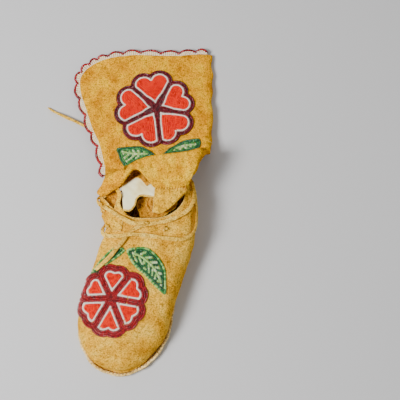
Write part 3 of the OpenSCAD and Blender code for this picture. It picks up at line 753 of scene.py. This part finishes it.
def build_tab():
    a, b = grid(70, 50)
    xy = coons(TAB_LOW, TAB_TOP, [TAB_LOW[0], TAB_TOP[0]], [TAB_LOW[-1], TAB_TOP[-1]], a, b)
    top = flap_surface(xy[..., 0], xy[..., 1])
    low = np.clip(1 - b * 24 / 6, 0, 1) ** 2
    right = np.clip(1 - (1 - a) * 30 / 6, 0, 1) ** 2
    top[..., 2] += -0.3 - 2.2 * low - 3.5 * right + 0.35 * wave(xy, 9, 51)
    piece = thick_sheet("ankle_tab_leather", top, LEATHER, [TAB_LEATHER, EDGE_LEATHER])
    # The turned-in leather under the seam, darkened as a painted shadow under the tab's edge.
    a, b = grid(50, 8)
    seam = flap_surface(mix(17.5, 48.5, a), mix(1.4, 6.4, b)) - [0, 0, 0.9]
    own(thick_sheet("tab_seam", seam, 0.8, [PAINTED_SHADE_LEATHER, PAINTED_SHADE_LEATHER]), "flap", "buckskin")
    own(piece, "flap", "buckskin", "ankle_tab")


def build_lining():
    a, b = grid(110, 170)
    xy = coons(LINING_LOW, LINING_TOP, LINING_LEFT, LINING_RIGHT, a, b)
    top = lining_surface(xy[..., 0], xy[..., 1])
    piece = thick_sheet("cuff_lining_cloth", top, CLOTH, [LINING_CLOTH, EDGE_LEATHER])
    own(piece, "cuff", "lining_cloth", "cuff_lining")


def build_back():
    a, b = grid(120, 180)
    xy = coons(BACK_LOW, BACK_TOP, BACK_LEFT, BACK_RIGHT, a, b)
    top = lining_surface(xy[..., 0], xy[..., 1]) - [0, 0, CLOTH + 0.4]
    top[..., 2] = np.maximum(top[..., 2], LEATHER + 0.15)
    # Its top takes the painted-shade leather: the shade deep in the cuff's opening painted into its colour.
    piece = thick_sheet("cuff_back_leather", top, LEATHER, [PAINTED_SHADE_LEATHER, EDGE_LEATHER])
    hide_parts("cuff_back")
    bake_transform(piece)


def build_fold():
    """The rounded fold that joins the back panel to the flap, and the side wall at the ankle."""
    for name, share, reach, low_z, high_z, cad in (
            ("cuff_fold_leather", (0.66, 1.0), 6.2, 2.5, 11, "cuff_fold"),
            ("cuff_side_leather", (0.16, 0.68), 5.0, 36, 50, None)):
        columns, rows = 26, 120
        s = np.linspace(share[0], share[1], rows)
        # The fold's line, at an even spacing along the flap's right edge.
        fine = path_at(FLAP_RIGHT, np.linspace(0, 1, 900))
        run = run_so_far(fine)
        part = s * 0.6 if cad is None else mix(0.38, 1.0, (s - 0.66) / 0.34)
        base = place_on(fine, run, part * run[-1])
        side = np.gradient(base, axis=0)
        side = unit(np.stack([side[:, 1], -side[:, 0]], -1))
        top = flap_surface(base[:, 0], base[:, 1])[:, 2] - 0.3
        low = lining_surface(base[:, 0], base[:, 1])[:, 2] - CLOTH - 0.4 - LEATHER
        low = np.minimum(np.maximum(low, 0.2), top - 4)
        angle = np.radians(np.linspace(90, -90, columns))
        middle, half = (top + low) / 2, (top - low) / 2
        out = mix(2.2, reach, smooth((base[:, 1] - 30) / 28)) + 0.5 * wave(base, 30, 61)
        xy = base[:, None] + side[:, None] * (out[:, None] * np.cos(angle) - 0.8)[..., None]
        z = middle[:, None] + half[:, None] * np.sin(angle)
        points = np.concatenate([xy, z[..., None]], -1)
        points[..., 0] += 0.5 * wave(points, 16, 62) * np.cos(angle)
        piece = thick_sheet(name, points, LEATHER, [CUFF_LEATHER, EDGE_LEATHER], 0.2)
        if cad:
            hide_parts(cad)
        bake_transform(piece)


build_flap()
build_tab()
build_lining()
build_back()
build_fold()


def on_line(route, spacing=0.8):
    return along([list(p) for p in route], spacing)


def strip(name, route, tilt, width, thickness, materials, body, slot, seed, taper=0.0):
    """A loose strip of leather along a route; tilt is which way its face points."""
    line = on_line(route)
    ups = unit(np.tile(np.asarray(tilt, float), (len(line), 1))
               + 0.1 * np.stack([wave(line, 20, seed + k) for k in range(3)], -1))
    piece = sweep(name, line, flatten_ups(ups), width, thickness, materials, seed, taper)
    return own(piece, body, slot)


def knot(name, centre, radius, body, seed):
    """A tight little knot of thong."""
    t = np.linspace(0, 2 * math.pi, 90)
    line = np.stack([radius * (np.cos(t) + 0.55 * np.cos(2 * t)), radius * (np.sin(t) - 0.55 * np.sin(2 * t)),
                     radius * 0.55 * np.sin(3 * t)], -1) * [0.8, 0.62, 0.8] + centre
    ups = unit(line - np.asarray(centre) + [0, 0, 1.5])
    piece = sweep(name, line, ups, 2.4, 1.1, [THONG_LEATHER, EDGE_LEATHER], seed)
    return own(piece, body, "thong_leather")


def build_ankle_details():
    a, b = grid(80, 50)
    low, high = [[1, -23.5], [12, -23.8], [24, -22], [37, -13]], [[-3, -6], [8, -1], [22, 1], [42, 3]]
    xy = coons(low, high, [low[0], high[0]], [low[-1], high[-1]], a, b)
    pleats = 0.9 * np.sin(xy[..., 0] * 1.05 + 1.6 * wave(xy, 14, 63)) * smooth(b * 3)
    z = 41 - 5.5 * (1 - a) ** 2 - 2.0 * np.sin(b * math.pi) + pleats * 0.8 + 0.4 * wave(xy, 7, 64)
    # A real inner layer of leather, coloured with painted shade where it lies deep in the opening.
    piece = thick_sheet("inner_gusset", np.concatenate([xy, z[..., None]], -1), 1.3,
                        [PAINTED_SHADE_LEATHER, TAB_LEATHER])
    own(piece, "cuff", "buckskin")
    low = [[-20, 4], [-13, 12.5], [-6, 17.5], [1, 15], [8, 7.5]]
    high = [[-30, 14], [-18, 24], [-6, 30], [6, 27], [18, 14]]
    xy = coons(low, high, [low[0], high[0]], [low[-1], high[-1]], a, b)
    top = lining_surface(xy[..., 0], xy[..., 1])
    top[..., 2] += 1.5 + 0.5 * wave(xy, 9, 65) - 1.2 * b
    # A real leather facing, coloured dark with painted shade to give the dark hollow under the arch.
    piece = thick_sheet("inner_facing", top, 1.1, [PAINTED_SHADE_LEATHER, THONG_LEATHER])
    own(piece, "cuff", "buckskin")
    line = on_line(LINING_LOW, 0.6)
    edge = lining_surface(line[:, 0], line[:, 1]) + [0, 0, -0.2]
    ups = grid_normals(np.stack([edge, edge + [0, 1.0, 0.0]], 0))[0]
    ups = np.where(ups[:, 2:] < 0, -ups, ups)
    own(sweep("lining_binding", edge, flatten_ups(ups, 4), 1.9, 1.5, [THONG_LEATHER, EDGE_LEATHER], 66),
        "cuff", "buckskin")
    leathers = [TAB_LEATHER, EDGE_LEATHER]
    a, b = grid(60, 50)
    low, high = [[-38, -16], [-30, -20], [-21, -22]], [[-39, 6], [-30, 10], [-21, 8]]
    xy = coons(low, high, [low[0], high[0]], [low[-1], high[-1]], a, b)
    z = 36 + 5 * a + 1.2 * np.sin(7 * b + 2 * wave(xy, 12, 58))
    # A dark sheet of painted shade in the hollow between the left rim and the band.
    own(thick_sheet("left_pocket", np.concatenate([xy, z[..., None]], -1), 1.3, [PAINTED_SHADE_LEATHER, TAB_LEATHER]),
        "foot", "buckskin")
    strip("left_band", [(-28, 8, 46), (-22.5, 5, 48), (-19, -2, 49.5), (-20, -9, 49), (-18.5, -16, 48),
                        (-13.5, -22, 46.6), (-10, -22.5, 43)], (-0.5, 0.1, 0.85), 4.6, 1.5, leathers,
          "foot", "buckskin", 67)
    # Leather gathered into folds outside the ankle, under the crossing thong.
    upper_edge = [[-39.5, -1.5, 41.5], [-33, -8.5, 44.2], [-25, -16.5, 46.4], [-15, -25, 47.4]]
    lower_edge = [[-37.5, -24, 37.5], [-34, -31, 40.6], [-27, -36, 44], [-17, -38.6, 46.6]]
    a, b = grid(90, 70)
    top = mix(path_at(lower_edge, a), path_at(upper_edge, a), b[..., None])
    lean = unit(np.array([-0.55, -0.25, 0.8]))
    folds = np.sin(b * 17 + 1.5 * a + 0.9 * wave(top, 16, 68)) * np.sin(np.pi * np.clip(b, 0.02, 0.98)) ** 0.4
    top = top + lean * ((1.1 * folds + 0.35 * wave(top, 9, 69)) * (1 - 0.6 * a))[..., None]
    own(thick_sheet("left_gathers", top, 1.4, [TAB_LEATHER, EDGE_LEATHER]), "foot", "buckskin")
    strip("slit_loop", [(8, -37.4, 45.4), (10, -37.4, 47.2), (14, -37, 48), (18, -36.8, 47.2),
                        (20.5, -36.6, 45.4)], (0, -0.25, 1), 4.6, 1.4, leathers, "foot", "buckskin", 71)
    knot("small_knot", np.array([27.0, -36.4, 47.4]), 2.1, "foot", 72)
    knot("left_knot_a", np.array([-36.5, -17.0, 42.5]), 1.8, "foot", 73)
    knot("left_knot_b", np.array([-31.5, -33.5, 44.2]), 1.5, "foot", 74)


build_ankle_details()


# Beads -----------------------------------------------------------------------------------------
BEAD_SIDES = 8
BEAD_PROFILE = 6
# A bead's ring and the pad under it, in shares of the bead's radius.
RING_RADIUS = 0.68
RING_THICKNESS = 0.34
RING_HALF_LENGTH = 0.76
PAD_REACH = 1.1
PAD_WIDTH = 1.2
PAD_HEIGHTS = (-0.98, -0.5)
# Between rows, and between beads on one thread, in millimetres.
ROW = 2.1
PITCH = 1.62


def bead_template():
    side = np.arange(BEAD_SIDES) * 2 * math.pi / BEAD_SIDES
    turn = np.arange(BEAD_PROFILE) * 2 * math.pi / BEAD_PROFILE
    radial = RING_RADIUS + RING_THICKNESS * np.cos(turn)
    axial = RING_HALF_LENGTH * np.sin(turn)
    points = np.stack([np.tile(axial, (BEAD_SIDES, 1)),
                       np.outer(np.cos(side), radial), np.outer(np.sin(side), radial)], -1)
    i, k = np.meshgrid(np.arange(BEAD_SIDES), np.arange(BEAD_PROFILE), indexing="ij")
    n = BEAD_PROFILE
    faces = np.stack([i * n + k, i * n + (k + 1) % n, (i + 1) % BEAD_SIDES * n + (k + 1) % n,
                      (i + 1) % BEAD_SIDES * n + k], -1).reshape(-1, 4)
    points, faces = points.reshape(-1, 3), faces[:, ::-1]
    # The thread and ground under the bead.
    corners = ((-PAD_REACH, -PAD_WIDTH), (PAD_REACH, -PAD_WIDTH), (PAD_REACH, PAD_WIDTH),
               (-PAD_REACH, PAD_WIDTH))
    pad = np.array([[x, y, z] for z in PAD_HEIGHTS for x, y in corners])
    sides = np.array([[0, 3, 2, 1], [4, 5, 6, 7], [0, 1, 5, 4], [1, 2, 6, 5], [2, 3, 7, 6], [3, 0, 4, 7]])
    return np.vstack([points, pad[:, [0, 2, 1]]]), np.vstack([faces, sides[:, ::-1] + len(points)])


TEMPLATE, TEMPLATE_FACES = bead_template()


def string_of_beads(name, beads, materials, seed):
    """One object from a list of (centre, thread direction, up, material number, radius)."""
    rng = np.random.default_rng(seed)
    centre = np.array([b[0] for b in beads])
    thread = unit(np.array([b[1] for b in beads]) + rng.normal(scale=0.07, size=(len(beads), 3)))
    up = np.array([b[2] for b in beads])
    side = unit(np.cross(up, thread))
    up = np.cross(thread, side)
    size = np.array([b[4] for b in beads]) * rng.uniform(0.93, 1.05, len(beads))
    local = TEMPLATE[None] * size[:, None, None]
    points = (centre[:, None] + local[..., :1] * thread[:, None] + local[..., 1:2] * up[:, None]
              + local[..., 2:] * side[:, None])
    count = len(TEMPLATE)
    faces = (TEMPLATE_FACES[None] + (np.arange(len(beads)) * count)[:, None, None]).reshape(-1, 4)
    indices = np.repeat([b[3] for b in beads], len(TEMPLATE_FACES))
    return make(name, points.reshape(-1, 3), faces, materials, indices, tidy=False)


def on_vamp(x, y):
    place, normal, _, _ = SKIN.ray_cast(Vector((x, y, 90)), Vector((0, 0, -1)))
    if place is None:
        return None
    return np.array(place), np.array(normal)


def on_flap(x, y):
    d = 0.5
    around = flap_surface(np.array([x, x + d, x - d, x, x]), np.array([y, y, y, y + d, y - d]))
    normal = unit(np.cross(around[1] - around[2], around[3] - around[4]))
    return around[0], normal


def distance_to(outline, points):
    return np.sqrt(((points[:, None] - outline[None]) ** 2).sum(-1)).min(axis=1)


def inside(outline, points):
    x, y = points[:, :1], points[:, 1:]
    a, b = outline, np.roll(outline, -1, axis=0)
    crosses = ((a[:, 1] > y) != (b[:, 1] > y)) & (
        x < (b[:, 0] - a[:, 0]) * (y - a[:, 1]) / (b[:, 1] - a[:, 1] + 1e-12) + a[:, 0])
    return crosses.sum(axis=1) % 2 == 1


def even(points, count):
    """A closed outline resampled at an even spacing."""
    closed = np.vstack([points, points[:1]])
    length = run_so_far(closed)
    s = np.linspace(0, length[-1], count, endpoint=False)
    return place_on(closed, length, s)


def row_at(outline, offset):
    """Runs of points at a distance inside (or, below zero, outside) a closed outline."""
    tangent = unit(sum(np.roll(outline, -k, axis=0) - np.roll(outline, k, axis=0) for k in (1, 2, 3, 4)))
    area = (outline[:, 0] * np.roll(outline[:, 1], -1) - np.roll(outline[:, 0], -1) * outline[:, 1]).sum()
    inward = np.stack([-tangent[:, 1], tangent[:, 0]], -1) * np.sign(area)
    moved = outline + inward * offset
    keep = distance_to(outline, moved) > abs(offset) - 0.2 - 0.03 * abs(offset)
    if offset > 0:
        keep &= inside(outline, moved)
    if keep.all():
        return [np.vstack([moved, moved[:1]])]
    if not keep.any():
        return []
    start = int(np.argmin(keep))
    moved, keep = np.roll(moved, -start, axis=0), np.roll(keep, -start)
    runs, run = [], []
    for p, k in zip(moved, keep):
        if k:
            run.append(p)
        elif run:
            runs.append(np.array(run))
            run = []
    if run:
        runs.append(np.array(run))
    return [r for r in runs if len(r) > 1]


class Beadwork:
    """Beads laid in rows on a surface, none of them on top of another."""

    def __init__(self, surface, seed, radius=1.1, sizes=None):
        self.sizes = sizes or {}
        self.surface = surface
        self.places = np.zeros((0, 2))
        self.groups = {}
        self.rng = np.random.default_rng(seed)
        self.radius = radius

    def lay(self, group, xy, direction, colour, closest):
        size = self.radius * self.sizes.get(group, 1.0)
        if len(self.places) and np.sqrt(((self.places - xy) ** 2).sum(-1)).min() < closest:
            return False
        found = self.surface(float(xy[0]), float(xy[1]))
        if found is None:
            return False
        place, normal = found
        thread = unit(np.append(direction, 0.0))
        thread = unit(thread - normal * (thread @ normal))
        self.places = np.vstack([self.places, xy])
        colour = int(self.rng.choice(colour)) if isinstance(colour, (list, tuple)) else colour
        self.groups.setdefault(group, []).append(
            (place + normal * (size * 1.02), thread, normal, colour, size))
        return True

    def run(self, group, line, colour, closest=1.32, pitch=PITCH):
        length = run_so_far(line)
        if length[-1] < pitch * 0.5:
            return
        closed = np.linalg.norm(line[0] - line[-1]) < 0.4
        count = max(1, int(round(length[-1] / pitch)))
        places = (np.arange(count) + (0.0 if closed else 0.5)) * length[-1] / count
        for s in places:
            ahead = place_on(line, length, min(s + 0.4, length[-1]))
            behind = place_on(line, length, max(s - 0.4, 0))
            self.lay(group, place_on(line, length, s), ahead - behind, colour, closest)

    def fill_gaps(self, group, outline, margin, colour, closest=1.62):
        """Puts a bead wherever there is still room for one inside an outline."""
        low, high = outline.min(axis=0), outline.max(axis=0)
        spots = np.stack(np.meshgrid(np.arange(low[0], high[0], 0.6), np.arange(low[1], high[1], 0.6)),
                         -1).reshape(-1, 2)
        spots = spots[inside(outline, spots)]
        spots = spots[distance_to(outline, spots) > margin]
        for spot in spots:
            away = spot - outline[np.linalg.norm(outline - spot, axis=1).argmin()]
            self.lay(group, spot, np.array([-away[1], away[0]]), colour, closest)

    def rows(self, group, outline, offsets, colour, closest=1.32):
        for offset in offsets:
            for line in row_at(outline, offset):
                self.run(group, line, colour, closest)


PETAL_START = 4.5
# The heart curve's point lies HEART_POINT behind its middle, and it is HEART_LENGTH long.
HEART_POINT = 17
HEART_LENGTH = 29


def clipped(points, normal, offset):
    """The part of a closed outline on the near side of a line."""
    kept = []
    depth = points @ normal - offset
    for i, p in enumerate(points):
        q, a, b = points[i - 1], depth[i - 1], depth[i]
        if (a > 0) != (b > 0):
            kept.append(q + (p - q) * a / (a - b))
        if b <= 0:
            kept.append(p)
    return np.array(kept)


def heart(centre, angle, length, fill, before, after, gap, wide):
    """A petal: a heart cut to its sector, with a gap to the neighbours on both sides."""
    t = np.radians(np.linspace(0, 360, 361)[:-1])
    off = np.degrees(np.where(t > math.pi, t - 2 * math.pi, t))
    k = length / HEART_LENGTH
    x = k * (HEART_POINT + 13 * np.cos(t) - 5 * np.cos(2 * t) - 2 * np.cos(3 * t) - np.cos(4 * t))
    x = x + fill * np.exp(-(off / 30) ** 2) + PETAL_START
    y = k * 16 * wide * np.sin(t) ** 3
    shape = np.stack([x, y], -1)
    for side, half in ((1, after), (-1, before)):
        normal = np.array([-math.sin(math.radians(half)), side * math.cos(math.radians(half))])
        shape = clipped(shape, normal, -gap)
    c, s = math.cos(math.radians(angle)), math.sin(math.radians(angle))
    x, y = shape[:, 0], shape[:, 1]
    return even(np.stack([centre[0] + x * c - y * s, centre[1] + x * s + y * c], -1), 300)


def flower(work, centre, petals, radius, fill, gap, wide, outline_rows):
    hearts = []
    for i, (angle, share) in enumerate(petals):
        before = (angle - petals[i - 1][0]) % 360 / 2
        after = (petals[(i + 1) % len(petals)][0] - angle) % 360 / 2
        hearts.append(heart(centre, angle, radius * share - PETAL_START, fill, before, after, gap, wide))
    for shape in hearts:
        work.rows("border", shape, [ROW * 0.5], [0, 0, 0, 1, 2])
        work.rows("fill", shape, [ROW * (k + 1.5) for k in range(8)], [0, 0, 0, 1, 1, 2])
        work.fill_gaps("fill", shape, ROW * 1.3, [0, 1, 2], 1.5)
    for k in range(outline_rows):
        for i, shape in enumerate(hearts):
            others = [h for j, h in enumerate(hearts) if j != i]
            for line in row_at(shape, -ROW * (k + 0.5)):
                clear = np.ones(len(line), bool)
                for other in others:
                    clear &= ~inside(other, line) & (distance_to(other, line) > ROW * (k + 0.5) - 0.45)
                for run in split_runs(line, clear):
                    work.run("outline", run, [0, 0, 1, 2], 1.36)
    around = np.vstack(hearts)
    reach = np.linalg.norm(around - centre, axis=1).max() + outline_rows * ROW - 1.0
    side = np.arange(-reach, reach, 0.6)
    spots = np.stack(np.meshgrid(side, side), -1).reshape(-1, 2) + centre
    near = distance_to(around, spots)
    free = (near > ROW * 0.45) & (near < ROW * (outline_rows - 0.2))
    for shape in hearts:
        free &= ~inside(shape, spots)
    middle = np.linalg.norm(spots - centre, axis=1) < PETAL_START + 6
    for spot in spots[free | (middle & (near > ROW * 0.45))]:
        if not any(inside(shape, spot[None])[0] for shape in hearts):
            away = spot - around[np.linalg.norm(around - spot, axis=1).argmin()]
            work.lay("outline", spot, np.array([-away[1], away[0]]), [0, 1, 2], 1.36)


def split_runs(line, keep):
    """The stretches of a line where keep holds."""
    runs, run = [], []
    for p, good in zip(line, keep):
        if good:
            run.append(p)
            continue
        if len(run) > 2:
            runs.append(np.array(run))
        run = []
    if len(run) > 2:
        runs.append(np.array(run))
    return runs


def leaf(work, group, line, midrib, outer, inner, veins, slant, vein_every=2):
    """Outline rows, then slanting rows of beads on both sides of a midrib."""
    shape = even(loop_at(line, np.linspace(0, 1, 300, endpoint=False)), 300)
    work.rows(group, shape, [ROW * 0.5], outer)
    work.rows(group, shape, [ROW * 1.45], inner)
    rib = along(midrib, 0.5)
    work.run(group, rib, veins, 1.35)
    rib_length = length_of(rib)
    ahead = unit(np.gradient(rib, axis=0))
    s = np.linspace(0, rib_length, len(rib))
    step = ROW / math.sin(math.radians(slant))
    count = int(rib_length / step)
    for k in range(count + 6):
        at = (k - 3) * step
        base = place_on(rib, s, at)
        direction = place_on(ahead, s, at)
        base = base + direction * min(0.0, at) + direction * max(0.0, at - rib_length)
        for side in (-1, 1):
            angle = math.radians(slant) * side
            c, d = math.cos(angle), math.sin(angle)
            way = np.array([direction[0] * c - direction[1] * d, direction[0] * d + direction[1] * c])
            colour = veins if k % vein_every == 0 else inner
            for j in range(1, 26):
                p = base + way * PITCH * j
                if not inside(shape, p[None])[0] or distance_to(shape, p[None])[0] < ROW * 1.5:
                    if j > 3:
                        break
                    continue
                work.lay(group, p, way, colour, 1.5)
    work.fill_gaps(group, shape, ROW * 0.9, inner)


def build_beadwork():
    toe = Beadwork(on_vamp, 71, sizes={"border": 0.86})
    flower(toe, TOE_CENTRE, TOE_PETALS, TOE_RADIUS, 4.6, 3.0, 0.84, 3)
    leaf(toe, "leaf_right", TOE_LEAF_RIGHT, [[-8.5, -59], [4, -64], [15, -74], [22, -86], [26, -97]],
         [2, 3], [0, 1], [3, 3, 4], 42)
    leaf(toe, "leaf_left", TOE_LEAF_LEFT, [[-15, -58], [-28, -64], [-39, -74], [-46, -83], [-51, -91]],
         [2, 3], [0, 1], [3, 4], 42)
    names = {"outline": ("toe_outline_beads", RED_BEADS, "bead_burgundy", "toe_flower_outline"),
             "border": ("toe_border_beads", WHITE_BEADS, "bead_white", "toe_flower_border"),
             "fill": ("toe_fill_beads", ORANGE_BEADS, "bead_orange", "toe_flower_fill"),
             "leaf_right": ("toe_right_leaf_beads", GREEN_BEADS, "bead_green", "toe_leaf_right"),
             "leaf_left": ("toe_left_leaf_beads", GREEN_BEADS, "bead_green", "toe_leaf_left")}
    total = 0
    for seed, (group, (name, materials, slot, cad)) in enumerate(names.items()):
        own(string_of_beads(name, toe.groups[group], materials, 80 + seed), "foot", slot, cad)
        total += len(toe.groups[group])
    cuff = Beadwork(on_flap, 72, sizes={"border": 0.84})
    flower(cuff, CUFF_CENTRE, CUFF_PETALS, CUFF_RADIUS, 3.2, 2.2, 0.97, 2)
    leaf(cuff, "leaf_left", CUFF_LEAF_LEFT, [[13, 46], [2, 47.5], [-10, 49], [-23, 52]],
         [0, 1], [1, 2], [3, 4], 50, 2)
    leaf(cuff, "leaf_right", CUFF_LEAF_RIGHT, [[26, 49.5], [38, 54.5], [50, 58.5], [61, 60]],
         [0, 1], [1, 2], [3, 4], 50, 2)
    names = {"outline": ("cuff_outline_beads", DARK_BEADS, "bead_burgundy", "cuff_flower_outline"),
             "border": ("cuff_border_beads", WHITE_BEADS, "bead_white", "cuff_flower_border"),
             "fill": ("cuff_fill_beads", ORANGE_BEADS, "bead_orange", "cuff_flower_fill"),
             "leaf_right": ("cuff_right_leaf_beads", GREEN_BEADS, "bead_green", "cuff_leaf_right"),
             "leaf_left": ("cuff_left_leaf_beads", GREEN_BEADS, "bead_green", "cuff_leaf_left")}
    for seed, (group, (name, materials, slot, cad)) in enumerate(names.items()):
        own(string_of_beads(name, cuff.groups[group], materials, 90 + seed), "flap", slot, cad)
        total += len(cuff.groups[group])
    print("beads in the flowers and leaves:", total)


build_beadwork()


# Scalloped edging ------------------------------------------------------------------------------
SCALLOPS = 16
EDGING = FLAP_LEFT[3:] + FLAP_TOP[1:]
# The edging lies a little under the flap's top and falls slightly outwards.
EDGING_DROP = 0.85
EDGING_SLOPE = 0.06


def build_edging():
    fine = path_at(EDGING, np.linspace(0, 1, 4000))
    length = run_so_far(fine)
    total = length[-1]
    u_of = np.linspace(0, 1, 4000)

    def place(s, out):
        u = np.interp(s, length, u_of)
        p = path_at(EDGING, u)
        d = path_at(EDGING, min(1, u + 0.004)) - path_at(EDGING, max(0, u - 0.004))
        side = unit(np.array([-d[1], d[0]]))
        _, y, z = flap_surface(np.array([p[0]]), np.array([p[1]]))[0]
        hang = y - p[1]
        q = p + out * side
        centre = np.array([q[0], q[1] + hang, z - EDGING_DROP - EDGING_SLOPE * out])
        return centre, np.array([side[0], side[1], -EDGING_SLOPE]), u

    def reach(u):
        return 1.5 + 3.9 * abs(math.sin(math.pi * SCALLOPS * u)) ** 0.8

    rng = np.random.default_rng(101)
    white, red = [], []
    lanes = int(total / 2.2)
    for k in range(lanes):
        s = (k + 0.5) * total / lanes
        u = np.interp(s, length, u_of)
        out_to = reach(u)
        count = max(1, int(round((out_to - 0.2) / 1.5)))
        for j in range(count):
            centre, side, _ = place(s, 0.5 + (j + 0.35) * (out_to - 0.3) / count)
            white.append((centre, side, np.array([0, 0, 1.0]), int(rng.choice([0, 0, 1, 2])), 0.9))
    arc = [place(s, reach(np.interp(s, length, u_of)) + 1.15)[0] for s in np.linspace(0, total, 1600)]
    arc = np.array(arc)
    along_arc = run_so_far(arc)
    count = int(along_arc[-1] / 2.1)
    for k in range(count):
        s = (k + 0.5) * along_arc[-1] / count
        thread = unit(place_on(arc, along_arc, s + 0.5) - place_on(arc, along_arc, s - 0.5))
        colour = int(rng.choice([0, 1, 2]))
        red.append((place_on(arc, along_arc, s), thread, np.array([0, 0, 1.0]), colour, 1.35))
    ribbon = []
    for s in np.linspace(0, total, 700):
        u = np.interp(s, length, u_of)
        ribbon.append([place(s, out)[0] - [0, 0, 0.55] for out in np.linspace(-0.6, reach(u) + 0.2, 5)])
    ribbon = thick_sheet("edging_ground", np.array(ribbon), 0.5, [EDGE_LEATHER, EDGE_LEATHER])
    own(ribbon, "flap", "buckskin")
    own(string_of_beads("edging_lane_beads", white, WHITE_BEADS, 102), "flap", "bead_white",
        "edging_white_beads")
    own(string_of_beads("edging_arc_beads", red, RED_BEADS, 103), "flap", "bead_burgundy",
        "edging_red_beads")


build_edging()


# Stitches --------------------------------------------------------------------------------------
def stitch(points, radius, sides=6):
    """A short thread: tube rings and faces along a few points."""
    points = np.asarray(points, float)
    ahead = unit(np.gradient(points, axis=0))
    right = unit(np.cross(ahead, [0.31, 0.17, 0.93]))
    up = np.cross(right, ahead)
    turn = np.arange(sides) * 2 * math.pi / sides
    n = len(points)
    size = radius * np.sqrt(np.clip(1 - np.linspace(-0.94, 0.94, n) ** 6, 0.05, 1))
    rings = (points[:, None] + right[:, None] * (np.cos(turn)[None, :, None] * size[:, None, None])
             + up[:, None] * (np.sin(turn)[None, :, None] * size[:, None, None]))
    return rings.reshape(-1, 3), tube_faces(n, sides)


def stitches(name, lines, radius, body, cad, slot="sinew", material=SINEW):
    points, faces, start = [], [], 0
    for line in lines:
        p, f = stitch(line, radius)
        points.append(p)
        faces += [[v + start for v in face] for face in f]
        start += len(p)
    piece = make(name, np.vstack(points), faces, [material])
    return own(piece, body, slot, cad)


SEAM_STITCHES = 124
# How far up the heel each stitch sits, as a share of the upper's height.
HEEL_ROWS = (0.125, 0.148, 0.171, 0.194, 0.217, 0.45, 0.49, 0.53)
HEEL_U = 0.5
TAB_STITCHES = 12


def build_stitches():
    lines = []
    for k in range(SEAM_STITCHES):
        u = (k + 0.2) / SEAM_STITCHES
        s, out = loop_at(SOLE, np.array(u)), outward(SOLE, np.array(u))
        ahead = np.array([-out[1], out[0]])
        path = [(2.3, 6.6, -0.5), (2.2, 7.9, -0.25), (1.5, 8.6, 0.05), (0.9, 8.5, 0.35), (0.3, 7.9, 0.6)]
        lines.append([[*(s + out * o + ahead * a), z] for o, z, a in path])
    stitches("seam_stitches", lines, 0.34, "foot", "sole_stitching")
    lines = []
    for v in HEEL_ROWS:
        row = []
        for e in np.linspace(-1, 1, 7):
            u = HEEL_U + 0.0042 * e
            p = skin_at(np.array(u), np.array(v + 0.006 * e))
            n = skin_normal(np.array(u), np.array(v))
            row.append(p + n * (0.75 - 0.5 * e * e))
        lines.append(row)
    stitches("heel_stitches", lines, 0.4, "foot", "heel_stitching", "rawhide")
    lines = []
    for k in range(TAB_STITCHES):
        x = mix(18.5, 47.5, k / (TAB_STITCHES - 1))
        row = []
        for e in np.linspace(-1, 1, 7):
            p = flap_surface(np.array([x + 0.5 * e]), np.array([3.9 + 1.6 * e]))[0]
            row.append(p + [0, 0, 0.3 - 0.4 * e * e])
        lines.append(row)
    # The tab's stitches take the painted-shade leather: a painted shadow line along the seam's crease.
    stitches("tab_stitches", lines, 0.3, "flap", "tab_stitching", "rawhide", PAINTED_SHADE_LEATHER)


build_stitches()


# ---------------------------------------------------------------------------------------------
# Floor and light
# ---------------------------------------------------------------------------------------------
FLOOR_SIZE = 60
FLOOR_Z = -0.0002
WORLD_COLOUR = (1.0, 0.96, 0.90, 1)
WORLD_STRENGTH = 0.26
# Each light's name, place, size in metres and power in watts.
LIGHTS = (("key", (-0.66, -0.25, 1.05), 0.4, 23.5),
          ("fill", (0.8, -0.5, 1.3), 1.3, 3.5),
          ("back", (0.0, 1.1, 1.0), 1.0, 3.5))


def build_stage():
    bpy.ops.mesh.primitive_plane_add(size=FLOOR_SIZE, location=(0, 0, FLOOR_Z))
    floor = bpy.context.object
    floor.name = "floor"
    material, _, shader = nodes_of("floor")
    set_value(shader, "Base Color", (0.60, 0.60, 0.61, 1))
    set_value(shader, "Roughness", 0.9)
    set_value(shader, "Specular IOR Level", 0.1)
    floor.data.materials.append(material)
    for name, place, size, power in LIGHTS:
        light = bpy.data.objects.new(name, bpy.data.lights.new(name, "AREA"))
        light.data.energy = power
        light.data.size = size
        light.location = place
        light.rotation_euler = (Vector((0, 0, 0.02)) - Vector(place)).to_track_quat("-Z", "Y").to_euler()
        scene.collection.objects.link(light)
    world = bpy.data.worlds.new("world")
    scene.world = world
    world.use_nodes = True
    background = world.node_tree.nodes["Background"]
    background.inputs["Color"].default_value = WORLD_COLOUR
    background.inputs["Strength"].default_value = WORLD_STRENGTH


build_stage()
